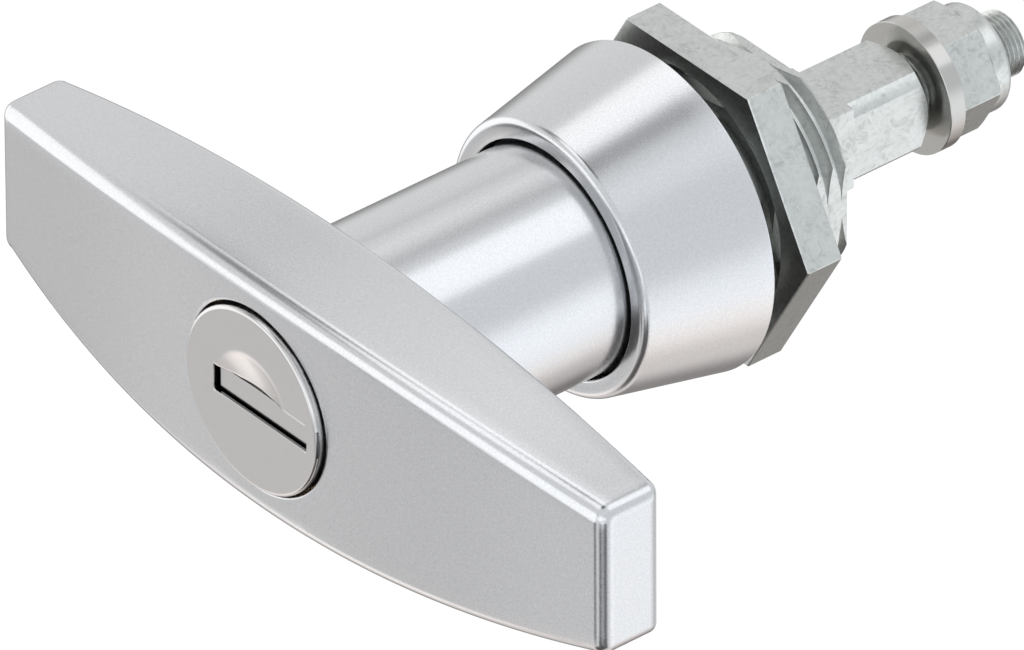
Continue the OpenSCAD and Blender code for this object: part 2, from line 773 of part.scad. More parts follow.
// Square bar, its corners turned down behind the sharp part
module spindle() {
    half = spindle_side / 2;
    front = stem_back;
    color("lightsteelblue") difference() {
        intersection() {
            bar(-half, half, front, spindle_reach, -half, half);
            union() {
                rod(spindle_side, front - cut, spindle_sharp_reach);
                rod(spindle_turned_d / 2, spindle_sharp_reach - cut, spindle_reach + cut);
            }
            spun([[0, front - cut], [spindle_side, front - cut],
                  [spindle_side, spindle_reach - spindle_end_drop],
                  [spindle_end_r, spindle_reach], [0, spindle_reach]]);
        }
        rod(stud_d / 2 + thread_gap, stud_front - 0.5, spindle_reach + cut);
        translate([0, spindle_pin_y, -spindle_side])
            cylinder(d = spindle_pin_d + 2 * turn_gap, h = 2 * spindle_side);
    }
}

module spindle_pin() {
    color("gray") translate([0, spindle_pin_y, -journal_r + 0.15])
        cylinder(d = spindle_pin_d, h = journal_d - 0.3);
}

module retaining_washer() {
    color("silver")
        tube_y(ret_washer_r, journal_r + turn_gap, ret_washer_front, ret_washer_front + ret_washer_t);
}

// Open snap ring in the journal's groove
module retaining_ring() {
    color("dimgray") difference() {
        tube_y(ring_r, ring_groove_r + slide_gap, ring_front, ring_front + ring_t);
        bar(-1.2, 1.2, ring_front - cut, ring_front + ring_t + cut, -ring_r - cut, 0);
    }
}

module threaded_stud() {
    color("lightsteelblue") threaded_rod(stud_d, stud_pitch, stud_front, stud_back);
}

module end_washer() {
    color("silver") tube_y(washer_d / 2, stud_d / 2 + 0.2, washer_front, washer_back);
}

// Hexagon with a round collar that holds the nylon ring
module lock_nut() {
    collar_r = lock_nut_collar_d / 2;
    bore_r = stud_d / 2 + thread_gap;
    color("lightsteelblue") difference() {
        union() {
            intersection() {
                hex_y(lock_nut_flats, washer_back, collar_front);
                spun([[0, washer_back], [lock_nut_flats, washer_back],
                      [lock_nut_flats, collar_front - lock_nut_cone_drop],
                      [lock_nut_cone_r, collar_front], [0, collar_front]]);
            }
            spun([[0, collar_front - 0.2], [collar_r, collar_front - 0.2],
                  [collar_r, lock_nut_back - collar_round_r],
                  [collar_r - collar_round_r, lock_nut_back], [0, lock_nut_back]]);
        }
        intersection() {
            threaded_rod(stud_d, stud_pitch, stud_front, stud_back, thread_gap);
            rod(bore_r + cut, washer_back - cut, collar_front);
        }
        rod(insert_r + turn_gap, collar_front - turn_gap, insert_back + turn_gap);
        rod(bore_r + 0.5, lock_nut_back - cut, lock_nut_back + cut);
    }
}

module nylon_insert() {
    color("white") tube_y(insert_r, stud_d / 2 + 0.02, collar_front, insert_back);
}

t_grip();
stem_o_ring();
escutcheon();
threaded_body();
mounting_nut();
panel_seal();
stop_pin();
detent_spring();
detent_ball_left();
detent_ball_right();
lock_barrel();
barrel_pin();
lock_plug();
plug_cap();
plug_clip();
keyway_shutter();
shutter_pins();
shutter_spring();
wafer_1();
wafer_2();
wafer_3();
wafer_4();
wafer_5();
wafer_springs();
drive_cam();
cam_pin();
locking_bolt();
spindle();
spindle_pin();
retaining_washer();
retaining_ring();
threaded_stud();
end_washer();
lock_nut();
nylon_insert();
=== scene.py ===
import math

import bmesh
import bpy
from mathutils import Matrix, Vector


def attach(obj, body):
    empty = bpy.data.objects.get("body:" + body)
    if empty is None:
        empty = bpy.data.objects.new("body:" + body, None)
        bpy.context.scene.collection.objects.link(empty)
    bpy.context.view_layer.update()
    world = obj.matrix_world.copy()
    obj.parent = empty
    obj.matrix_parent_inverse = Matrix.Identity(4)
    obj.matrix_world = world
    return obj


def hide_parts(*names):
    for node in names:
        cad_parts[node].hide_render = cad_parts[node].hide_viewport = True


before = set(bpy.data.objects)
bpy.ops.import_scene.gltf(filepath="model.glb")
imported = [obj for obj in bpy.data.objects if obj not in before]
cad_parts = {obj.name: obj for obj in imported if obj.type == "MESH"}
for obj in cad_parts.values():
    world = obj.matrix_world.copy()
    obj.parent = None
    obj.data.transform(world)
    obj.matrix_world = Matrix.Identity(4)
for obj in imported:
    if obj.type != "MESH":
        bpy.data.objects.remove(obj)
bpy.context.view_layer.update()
mm = 0.001
print("frame loaded,", len(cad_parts), "nodes")


cameraSetup = {
    "lens": 1000,
    "sensorWidth": 36,
    "clip": (0.1, 20),
    "distance": 2362 * mm,
    "aim": (-3.552 * mm, -13.022 * mm, -8.068 * mm),
    "azimuth": 50.32,
    "elevation": 34.84,
    "roll": -0.28,
}


def addObject(name, data):
    item = bpy.data.objects.new(name, data)
    bpy.context.scene.collection.objects.link(item)
    return item


def makeCamera(c):
    az, el, roll = (math.radians(c[k]) for k in ("azimuth", "elevation", "roll"))
    back = Vector((math.sin(az) * math.cos(el), -math.cos(az) * math.cos(el), math.sin(el)))
    level = Vector((math.cos(az), math.sin(az), 0))
    rise = back.cross(level)
    right = level * math.cos(roll) + rise * math.sin(roll)
    up = rise * math.cos(roll) - level * math.sin(roll)
    data = bpy.data.cameras.new("camera")
    data.lens = c["lens"]
    data.sensor_width = c["sensorWidth"]
    data.clip_start, data.clip_end = c["clip"]
    camera = addObject("camera", data)
    turn = Matrix((right, up, back)).transposed().to_4x4()
    camera.matrix_world = Matrix.Translation(Vector(c["aim"]) + back * c["distance"]) @ turn
    bpy.context.scene.camera = camera


makeCamera(cameraSetup)


studio = {
    "level": 0.977,
    "darkest": 0.1,
    "brightest": 1.6,
    "left": (1, 1, 1),
    "right": (0.96, 0.995, 1.035),
    "leftToRight": (-0.8, 0.9),
    "below": (1.055, 0.99, 0.955),
    "belowToLevel": (-0.85, -0.5),
    # Soft boxes (gain above 0) and grey flags (gain below 0): the direction in which each one
    # stands, its spread and its soft edge in degrees, and its gain
    "boxes": [
        ((0.33, 0.53, 0.78), 11.2, 5.8, 1.96),
        ((-0.39, 0.28, 0.88), 10, 7.2, 0.95),
        ((-0.34, -0.94, -0.01), 18.6, 12.6, 1.89),
        ((0.69, 0.57, -0.46), 11.9, 27, 0.52),
        ((0.00, -0.02, 1.00), 4.6, 10.7, -2.03),
        ((-0.51, -0.15, 0.85), 12.3, 12, -0.67),
        ((0.13, 0.83, -0.54), 13.1, 28.8, -0.35),
        ((0.04, -0.40, -0.92), 8, 16, -1.00),
        ((0.53, -0.45, -0.72), 9.1, 16.9, -2.45),
        ((-0.94, -0.32, -0.09), 10.3, 18.1, 4.37),
        ((-0.57, 0.53, -0.63), 13.4, 29.5, -0.71),
        ((-0.13, -0.99, -0.06), 7.3, 10.8, -1.24),
        ((-0.31, -0.25, 0.92), 7, 10.6, 2.33),
        ((-0.68, 0.45, 0.58), 0, 3.9, -1.75),
        ((-0.55, -0.38, -0.74), 4.2, 8.3, 0.58),
        ((-0.25, 0.55, 0.80), 4.5, 8.5, -0.33),
        ((-0.84, -0.23, -0.49), 5.5, 9.4, -0.33),
        ((-0.56, -0.54, -0.63), 6.3, 10.1, -0.23),
        ((-0.10, -0.85, -0.52), 4.3, 8.5, -0.81),
        ((0.55, -0.83, 0.10), 8, 14, 1.68),
        ((-0.29, 0.81, -0.52), 9.4, 13.3, 0.63),
        ((0.52, 0.18, 0.83), 5, 9, 0.12),
        ((-0.40, -0.82, -0.40), 4.8, 8.9, -0.40),
        ((-0.48, -0.84, -0.26), 5, 9, -1.33),
        ((0.64, -0.58, -0.51), 5, 9, 1.92),
        ((0.87, -0.49, 0.03), 5, 9, 0.51),
    ],
    "floorHeight": -52 * mm,
    "floorSize": 30,
    "floorGlow": 0.95,
    "floorGrey": (0.08, 0.08, 0.08),
}


def link(tree, a, b):
    tree.links.new(a, b)


def setInput(node, socket, value):
    node.inputs[socket].default_value = value


def mathNode(tree, operation, *values, clamp=False):
    node = tree.nodes.new("ShaderNodeMath")
    node.operation = operation
    node.use_clamp = clamp
    for socket, value in zip(node.inputs, values):
        if isinstance(value, bpy.types.NodeSocket):
            link(tree, value, socket)
        else:
            socket.default_value = value
    return node.outputs[0]


def blend(tree, factor, a, b):
    node = tree.nodes.new("ShaderNodeMix")
    node.data_type = "RGBA"
    link(tree, factor, node.inputs[0])
    for socket, value in ((node.inputs[6], a), (node.inputs[7], b)):
        if isinstance(value, bpy.types.NodeSocket):
            link(tree, value, socket)
        else:
            socket.default_value = (*value, 1)
    return node.outputs[2]


def span(tree, value, low, high, fromLow=0.3, fromHigh=0.7, smooth=False):
    # Low where the value is fromLow, high where it is fromHigh
    node = tree.nodes.new("ShaderNodeMapRange")
    if smooth:
        node.interpolation_type = "SMOOTHSTEP"
    setInput(node, "From Min", fromLow)
    setInput(node, "From Max", fromHigh)
    setInput(node, "To Min", low)
    setInput(node, "To Max", high)
    link(tree, value, node.inputs["Value"])
    return node.outputs["Result"]


def alongAxis(tree, place, axis):
    split = tree.nodes.new("ShaderNodeSeparateXYZ")
    link(tree, place, split.inputs[0])
    return split.outputs[axis]


def makeWorld(s):
    world = bpy.data.worlds.new("studio")
    bpy.context.scene.world = world
    world.use_nodes = True
    tree = world.node_tree
    tree.nodes.clear()
    direction = tree.nodes.new("ShaderNodeTexCoord").outputs["Generated"]
    total = s["level"]
    for toward, spread, edge, gain in s["boxes"]:
        dot = tree.nodes.new("ShaderNodeVectorMath")
        dot.operation = "DOT_PRODUCT"
        link(tree, direction, dot.inputs[0])
        setInput(dot, 1, Vector(toward).normalized())
        rim, core = (math.cos(math.radians(a)) for a in (spread + edge, spread))
        spot = span(tree, dot.outputs["Value"], 0, gain, rim, core, smooth=True)
        total = mathNode(tree, "ADD", total, spot)
    total = mathNode(tree, "MINIMUM", mathNode(tree, "MAXIMUM", total, s["darkest"]), s["brightest"])
    lit = tree.nodes.new("ShaderNodeBackground")
    toRight = span(tree, alongAxis(tree, direction, "X"), 0, 1, *s["leftToRight"])
    side = blend(tree, toRight, s["left"], s["right"])
    down = span(tree, alongAxis(tree, direction, "Z"), 1, 0, *s["belowToLevel"], smooth=True)
    link(tree, blend(tree, down, side, s["below"]), lit.inputs["Color"])
    link(tree, total, lit.inputs["Strength"])
    # The camera itself sees plain white
    white = tree.nodes.new("ShaderNodeBackground")
    setInput(white, "Color", (1, 1, 1, 1))
    mix = tree.nodes.new("ShaderNodeMixShader")
    link(tree, tree.nodes.new("ShaderNodeLightPath").outputs["Is Camera Ray"], mix.inputs[0])
    link(tree, lit.outputs[0], mix.inputs[1])
    link(tree, white.outputs[0], mix.inputs[2])
    link(tree, mix.outputs[0], tree.nodes.new("ShaderNodeOutputWorld").inputs[0])


def makeFloor(s):
    # The floor glows almost white under the object, and mirrors look through it into the studio
    half, z = s["floorSize"] / 2, s["floorHeight"]
    mesh = bpy.data.meshes.new("floor")
    corners = [(-half, -half, z), (half, -half, z), (half, half, z), (-half, half, z)]
    mesh.from_pydata(corners, [], [(0, 1, 2, 3)])
    floor = addObject("floor", mesh)
    material = bpy.data.materials.new("paleFloor")
    material.use_nodes = True
    tree = material.node_tree
    tree.nodes.clear()
    glow = tree.nodes.new("ShaderNodeEmission")
    setInput(glow, "Color", (1, 1, 1, 1))
    setInput(glow, "Strength", s["floorGlow"])
    matt = tree.nodes.new("ShaderNodeBsdfDiffuse")
    setInput(matt, "Color", (*s["floorGrey"], 1))
    both = tree.nodes.new("ShaderNodeAddShader")
    link(tree, glow.outputs[0], both.inputs[0])
    link(tree, matt.outputs[0], both.inputs[1])
    clear = tree.nodes.new("ShaderNodeBsdfTransparent")
    rays = tree.nodes.new("ShaderNodeLightPath")
    mix = tree.nodes.new("ShaderNodeMixShader")
    link(tree, rays.outputs["Is Glossy Ray"], mix.inputs[0])
    link(tree, both.outputs[0], mix.inputs[1])
    link(tree, clear.outputs[0], mix.inputs[2])
    link(tree, mix.outputs[0], tree.nodes.new("ShaderNodeOutputMaterial").inputs[0])
    mesh.materials.append(material)


makeWorld(studio)
makeFloor(studio)
bpy.context.scene.view_settings.view_transform = "Standard"
print("camera and studio ready")


def newFinish(name, look):
    material = bpy.data.materials.new(name)
    material.use_nodes = True
    tree = material.node_tree
    shader = tree.nodes["Principled BSDF"]
    setInput(shader, "Base Color", (*look["colour"], 1))
    setInput(shader, "Metallic", look["metallic"])
    setInput(shader, "Roughness", look["roughness"])
    place = tree.nodes.new("ShaderNodeTexCoord").outputs["Object"]
    return material, tree, shader, place


def noise(tree, place, size, detail=2.0, distortion=0.0, stretch=None):
    node = tree.nodes.new("ShaderNodeTexNoise")
    setInput(node, "Scale", 1 / (size * mm))
    setInput(node, "Detail", detail)
    setInput(node, "Distortion", distortion)
    if stretch:
        mapping = tree.nodes.new("ShaderNodeMapping")
        setInput(mapping, "Scale", stretch)
        link(tree, place, mapping.inputs["Vector"])
        place = mapping.outputs[0]
    link(tree, place, node.inputs["Vector"])
    return node.outputs["Fac"]


def tones(tree, value, stops):
    ramp = tree.nodes.new("ShaderNodeValToRGB")
    for element, (position, colour) in zip(ramp.color_ramp.elements, stops):
        element.position = position
        element.color = (*colour, 1)
    for position, colour in stops[2:]:
        ramp.color_ramp.elements.new(position).color = (*colour, 1)
    link(tree, value, ramp.inputs[0])
    return ramp.outputs["Color"]


def between(tree, value, rise, fall):
    # 1 from the rise to the fall, each given as two places in millimetres, and 0 elsewhere
    up = span(tree, value, 0, 1, *(v * mm for v in rise))
    return mathNode(tree, "MULTIPLY", up, span(tree, value, 1, 0, *(v * mm for v in fall)))


def roughen(tree, shader, pattern, look):
    link(tree, span(tree, pattern, *look["roughSpan"]), shader.inputs["Roughness"])


def relief(tree, shader, height, look):
    bump = tree.nodes.new("ShaderNodeBump")
    setInput(bump, "Strength", 1)
    setInput(bump, "Distance", look["depth"] * mm)
    link(tree, height, bump.inputs["Height"])
    link(tree, bump.outputs["Normal"], shader.inputs["Normal"])


# In these looks a noise is its size in millimetres, then its detail, distortion and stretch
chromeLook = {
    "colour": (0.60, 0.605, 0.615), "metallic": 1, "roughness": 0.24, "roughSpan": (0.18, 0.24),
    "grain": (0.14, 1.0), "depth": 0.002, "cloud": (0.16, 1.0),
    "tones": [(0.3, (0.57, 0.575, 0.585)), (0.7, (0.63, 0.635, 0.645))],
    # Painted shade for the escutcheon's face against the panel: its colour, and where it rises and falls
    # along Y in millimetres
    "panelShade": (0.06, 0.068, 0.068), "panelShadeRise": (-0.03, -0.01), "panelShadeFall": (0.5, 0.6),
}


def satinChrome(look):
    # Fine blasted grain under the plating, so that highlights end in sparkle
    material, tree, shader, place = newFinish("satinChrome", look)
    grain = noise(tree, place, *look["grain"])
    roughen(tree, shader, grain, look)
    plated = tones(tree, noise(tree, place, *look["cloud"]), look["tones"])
    # Painted shade: the escutcheon's face against the panel is painted dark, standing in for the shade in the
    # narrow gap there
    panelShade = between(tree, alongAxis(tree, place, "Y"), look["panelShadeRise"], look["panelShadeFall"])
    link(tree, blend(tree, panelShade, plated, look["panelShade"]), shader.inputs["Base Color"])
    relief(tree, shader, grain, look)
    return material


nickelLook = {
    "colour": (0.588, 0.576, 0.57), "metallic": 1, "roughness": 0.22, "roughSpan": (0.17, 0.24),
    "grain": (0.2, 2.0), "bump": (0.12, 1.0), "depth": 0.0008,
    # Painted shade in the slot's walls: where it rises and falls along Y and how far it reaches in Z, in
    # millimetres, then its bands of shade
    "slotShadeRise": (-43.87, -43.85), "slotShadeFall": (-43.6, -43.58), "slotShadeHalf": (1.3, 1.34),
    "slotShadeTones": [(0, (0.4, 0.4, 0.4)), (0.3, (0.36, 0.36, 0.36)), (0.4, (0.05, 0.05, 0.05)),
                  (0.6, (0.05, 0.05, 0.05)), (0.7, (0.3, 0.3, 0.3)), (0.9, (0.22, 0.22, 0.22))],
}


def nickelSheet(look):
    material, tree, shader, place = newFinish("nickelSheet", look)
    roughen(tree, shader, noise(tree, place, *look["grain"]), look)
    # Painted shade: the walls of the slot are painted darker than the sheet's face, in bands, and black in
    # their middle, for the shade down inside the slot
    y, z = alongAxis(tree, place, "Y"), alongAxis(tree, place, "Z")
    edge = between(tree, y, look["slotShadeRise"], look["slotShadeFall"])
    inSlot = span(tree, mathNode(tree, "ABSOLUTE", z), 1, 0, *(v * mm for v in look["slotShadeHalf"]))
    edge = mathNode(tree, "MULTIPLY", edge, inSlot)
    across = span(tree, y, 0, 1, look["slotShadeRise"][0] * mm, look["slotShadeFall"][0] * mm)
    slotShadeBands = tones(tree, across, look["slotShadeTones"])
    link(tree, blend(tree, edge, look["colour"], slotShadeBands), shader.inputs["Base Color"])
    relief(tree, shader, noise(tree, place, *look["bump"]), look)
    return material


zincLook = {
    "colour": (0.52, 0.533, 0.52), "metallic": 1, "roughness": 0.3, "roughSpan": (0.33, 0.27),
    "cells": 1.3, "strokes": (0.46, 3.0, 0.8, (0.36, 1, 1)), "cloud": (2.2, 2.0, 0.4), "shares": (0.7, 0.3),
    "tones": [(0.36, (0.435, 0.45, 0.435)), (0.46, (0.52, 0.535, 0.52)), (0.6, (0.575, 0.59, 0.575))],
    "bump": (0.5, 2.0, 0.8), "depth": 0.0025,
}


def zincPlate(look):
    # Feathery strokes of the zinc's crystals: a stretched pattern, turned another way in each cell
    material, tree, shader, place = newFinish("zincPlate", look)
    cells = tree.nodes.new("ShaderNodeTexVoronoi")
    setInput(cells, "Scale", 1 / (look["cells"] * mm))
    link(tree, place, cells.inputs["Vector"])
    turn = tree.nodes.new("ShaderNodeVectorMath")
    turn.operation = "SCALE"
    setInput(turn, "Scale", 2 * math.pi)
    link(tree, cells.outputs["Color"], turn.inputs[0])
    rotate = tree.nodes.new("ShaderNodeVectorRotate")
    rotate.rotation_type = "EULER_XYZ"
    link(tree, place, rotate.inputs["Vector"])
    link(tree, turn.outputs[0], rotate.inputs["Rotation"])
    strokes = noise(tree, rotate.outputs[0], *look["strokes"])
    cloud = noise(tree, place, *look["cloud"])
    parts = [mathNode(tree, "MULTIPLY", p, share) for p, share in zip((strokes, cloud), look["shares"])]
    pattern = mathNode(tree, "ADD", *parts)
    link(tree, tones(tree, pattern, look["tones"]), shader.inputs["Base Color"])
    roughen(tree, shader, pattern, look)
    relief(tree, shader, noise(tree, place, *look["bump"]), look)
    return material


brassLook = {
    "colour": (0.62, 0.44, 0.18), "metallic": 1, "roughness": 0.3, "roughSpan": (0.22, 0.38),
    "marks": (0.15, 2.0, 0.0, (0.02, 1, 0.02)), "depth": 0.003, "cloud": (2.0, 3.0),
    "tones": [(0.3, (0.55, 0.38, 0.15)), (0.7, (0.66, 0.48, 0.21))],
    # Painted shade behind the keyway: its colour, and where it falls off along Y in millimetres
    "keywayShade": (0.012, 0.012, 0.012), "keywayShadeFall": (-41.0, -40.4),
}


def turnedBrass(look):
    material, tree, shader, place = newFinish("turnedBrass", look)
    # Turning marks run round the axis, so the pattern changes only along it
    marks = noise(tree, place, *look["marks"])
    brassTone = tones(tree, noise(tree, place, *look["cloud"]), look["tones"])
    # Painted shade: behind the keyway the brass is painted black, for the shade inside the lock
    keywayShaded = span(tree, alongAxis(tree, place, "Y"), 1, 0, *(v * mm for v in look["keywayShadeFall"]))
    link(tree, blend(tree, keywayShaded, brassTone, look["keywayShade"]), shader.inputs["Base Color"])
    roughen(tree, shader, marks, look)
    relief(tree, shader, marks, look)
    return material


evenLooks = {
    "washerSteel": {
        "colour": (0.475, 0.468, 0.45), "metallic": 1, "roughness": 0.2, "roughSpan": (0.17, 0.23),
        "grain": (0.15, 2.0), "bump": (0.12, 1.0), "depth": 0.0006,
    },
    "darkSteel": {
        "colour": (0.28, 0.28, 0.29), "metallic": 1, "roughness": 0.38, "roughSpan": (0.3, 0.46),
        "cloud": (0.8, 3.0, 0.6), "tones": [(0.3, (0.22, 0.22, 0.23)), (0.7, (0.33, 0.33, 0.34))],
        "grain": (0.3, 2.0),
    },
    "sinteredSteel": {
        "colour": (0.4, 0.4, 0.41), "metallic": 1, "roughness": 0.5, "roughSpan": (0.7, 0.42),
        "cloud": (0.12, 2.0), "tones": [(0.32, (0.18, 0.18, 0.19)), (0.5, (0.42, 0.42, 0.43))],
        "grain": (0.12, 2.0), "bump": (0.12, 2.0), "depth": 0.01,
    },
    "blackRubber": {
        "colour": (0.02, 0.02, 0.02), "metallic": 0, "roughness": 0.55, "roughSpan": (0.5, 0.68),
        "cloud": (0.5, 3.0), "tones": [(0.3, (0.014, 0.014, 0.015)), (0.7, (0.03, 0.03, 0.03))],
        "grain": (0.2, 2.0), "bump": (0.1, 2.0), "depth": 0.004,
    },
    "whiteNylon": {
        "colour": (0.8, 0.8, 0.77), "metallic": 0, "roughness": 0.4, "roughSpan": (0.34, 0.48),
        "cloud": (1.2, 2.0), "tones": [(0.3, (0.76, 0.76, 0.72)), (0.7, (0.84, 0.84, 0.81))],
        "grain": (0.3, 2.0), "bump": (0.2, 2.0), "depth": 0.003,
    },
}


def evenFinish(name):
    look = evenLooks[name]
    material, tree, shader, place = newFinish(name, look)
    if "tones" in look:
        clouded = tones(tree, noise(tree, place, *look["cloud"]), look["tones"])
        link(tree, clouded, shader.inputs["Base Color"])
    roughen(tree, shader, noise(tree, place, *look["grain"]), look)
    if "bump" in look:
        relief(tree, shader, noise(tree, place, *look["bump"]), look)
    return material


finishes = {
    "satin_chrome": satinChrome(chromeLook),
    "satin_nickel": nickelSheet(nickelLook),
    "zinc_steel": zincPlate(zincLook),
    "bright_steel": evenFinish("washerSteel"),
    "dark_steel": evenFinish("darkSteel"),
    "sintered_steel": evenFinish("sinteredSteel"),
    "brass": turnedBrass(brassLook),
    "black_rubber": evenFinish("blackRubber"),
    "white_nylon": evenFinish("whiteNylon"),
}
print("finishes ready:", len(finishes))


weldDistance, thinnestEdge = 1.5e-6, 5e-7  # metres


def toMesh(name, verts, faces):
    mesh = bpy.data.meshes.new(name)
    mesh.from_pydata([(x * mm, y * mm, z * mm) for x, y, z in verts], [], faces)
    cleanMesh(mesh)
    return mesh


def cleanMesh(mesh):
    bm = bmesh.new()
    bm.from_mesh(mesh)
    bmesh.ops.remove_doubles(bm, verts=bm.verts, dist=weldDistance)
    bmesh.ops.dissolve_degenerate(bm, edges=bm.edges, dist=thinnestEdge)
    loose = [e for e in bm.edges if not e.link_faces]
    bmesh.ops.delete(bm, geom=loose, context="EDGES")
    bmesh.ops.recalc_face_normals(bm, faces=bm.faces)
    bm.to_mesh(mesh)
    bm.free()


def joinMeshes(name, parts):
    bm = bmesh.new()
    for part in parts:
        bm.from_mesh(part)
    mesh = bpy.data.meshes.new(name)
    bm.to_mesh(mesh)
    bm.free()
    return mesh


def evaluated(item):
    graph = bpy.context.evaluated_depsgraph_get()
    return bpy.data.meshes.new_from_object(item.evaluated_get(graph))


def cutAway(mesh, tools):
    item = addObject("work", mesh)
    helpers = [addObject("tool", tool) for tool in tools]
    for helper in helpers:
        modifier = item.modifiers.new("cut", "BOOLEAN")
        modifier.operation = "DIFFERENCE"
        modifier.solver = "EXACT"
        modifier.object = helper
    done = evaluated(item)
    for old in [item, *helpers]:
        bpy.data.objects.remove(old)
    return done


def roundEdges(mesh, width, segments=2, angle=40):
    item = addObject("work", mesh)
    modifier = item.modifiers.new("edges", "BEVEL")
    modifier.width = width * mm
    modifier.segments = segments
    modifier.limit_method = "ANGLE"
    modifier.angle_limit = math.radians(angle)
    done = evaluated(item)
    bpy.data.objects.remove(item)
    return done


def finishPiece(name, mesh, body, nodes, slotName, sharpAngle=30):
    mesh.polygons.foreach_set("use_smooth", [True] * len(mesh.polygons))
    mesh.set_sharp_from_angle(angle=math.radians(sharpAngle))
    item = addObject(name, mesh)
    modifier = item.modifiers.new("normals", "WEIGHTED_NORMAL")
    modifier.keep_sharp = True
    item.data = evaluated(item)
    item.modifiers.clear()
    item.data.materials.clear()
    item.data.materials.append(finishes[slotName])
    item.data.name = name
    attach(item, body)
    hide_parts(*nodes)
    print("piece", name, len(item.data.polygons), "faces")


def evenAngles(count):
    return [2 * math.pi * k / count for k in range(count)]


def ringFaces(rows, n, closed=False, base=0):
    # Quads between rings of n points each
    faces = []
    for i in range(rows if closed else rows - 1):
        here, there = base + i * n, base + (i + 1) % rows * n
        faces += [(here + k, here + (k + 1) % n, there + (k + 1) % n, there + k) for k in range(n)]
    return faces


def polygonRadius(flats, sides, corner):
    # The radius of a polygon with rounded corners, as a function of the angle
    half = math.pi / sides
    inner = flats / 2
    tangent = math.atan((inner - corner) * math.tan(half) / inner)
    reach = (inner - corner) / math.cos(half)

    def radius(a):
        local = (a + half) % (2 * half) - half
        if abs(local) <= tangent:
            return inner / math.cos(local)
        off = half - abs(local)
        return reach * math.cos(off) + math.sqrt(max(corner ** 2 - (reach * math.sin(off)) ** 2, 0))
    return radius


def bevelRadii(s, sides):
    # The full polygon of a nut or bar, and the one inside its bevel
    return [polygonRadius(flats, sides, s["corner"]) for flats in (s["flats"], s["flats"] - 2 * s["edge"])]


def polygonAngles(sides, perFlat, cornerDegrees):
    # Close together at the corners, even along the flats
    half = math.pi / sides
    c = math.radians(cornerDegrees)
    local = [-half + c * f for f in (0, 0.34, 0.67, 1)]
    local += [(-half + c) + (2 * half - 2 * c) * k / perFlat for k in range(1, perFlat)]
    local += [half - c * f for f in (1, 0.67, 0.34)]
    return [2 * half * k + a for k in range(sides) for a in local]


def turned(name, profile, angles, closed=True):
    # The profile's radius and place along Y are numbers or functions of the angle
    verts = []
    for radius, y in profile:
        for a in angles:
            r = radius(a) if callable(radius) else radius
            verts.append((r * math.sin(a), y(a) if callable(y) else y, r * math.cos(a)))
    return toMesh(name, verts, ringFaces(len(profile), len(angles), closed))


def arcPoints(centreR, centreY, r, start, end, steps):
    points = []
    for k in range(steps + 1):
        a = math.radians(start + (end - start) * k / steps)
        points.append((centreR + r * math.cos(a), centreY + r * math.sin(a)))
    return points


def block(x0, x1, y0, y1, z0, z1):
    corners = [(x, y, z) for x in (x0, x1) for y in (y0, y1) for z in (z0, z1)]
    sides = [(0, 1, 3, 2), (4, 6, 7, 5), (0, 4, 5, 1), (2, 3, 7, 6), (0, 2, 6, 4), (1, 5, 7, 3)]
    return toMesh("tool", corners, sides)


def prism(near, far):
    # Two outlines of as many points each, with flat ends
    n = len(near)
    faces = [tuple(range(n)), tuple(range(2 * n - 1, n - 1, -1))]
    faces += [(k, n + k, n + (k + 1) % n, (k + 1) % n) for k in range(n)]
    return toMesh("prism", near + far, faces)


def peg(centre, axis, r, low, high, sides=40):
    # A round tool along X or Z
    ends = []
    for end in (low, high):
        ends.append([])
        for a in evenAngles(sides):
            u, v = r * math.cos(a), r * math.sin(a)
            x, y, z = {"X": (end, u, v), "Z": (u, v, end)}[axis]
            ends[-1].append((x + centre[0], y + centre[1], z + centre[2]))
    return prism(*ends)


def ball(centre, r):
    bm = bmesh.new()
    bmesh.ops.create_uvsphere(bm, u_segments=32, v_segments=16, radius=r * mm,
                              matrix=Matrix.Translation(Vector(centre) * mm))
    mesh = bpy.data.meshes.new("tool")
    bm.to_mesh(mesh)
    bm.free()
    return mesh


def arcR(chord, rise):
    # The radius of an arc from its chord and its height
    return chord ** 2 / (8 * rise) + rise / 2


grip = {
    "length": 78, "height": 22.8, "endHeight": 14.3, "depth": 11, "endDepth": 6.3,
    "front": -43.4, "edge": 1.4, "rearEdge": 0.9, "holeR": 8.75, "holeRoll": 0.16, "middle": 11,
}


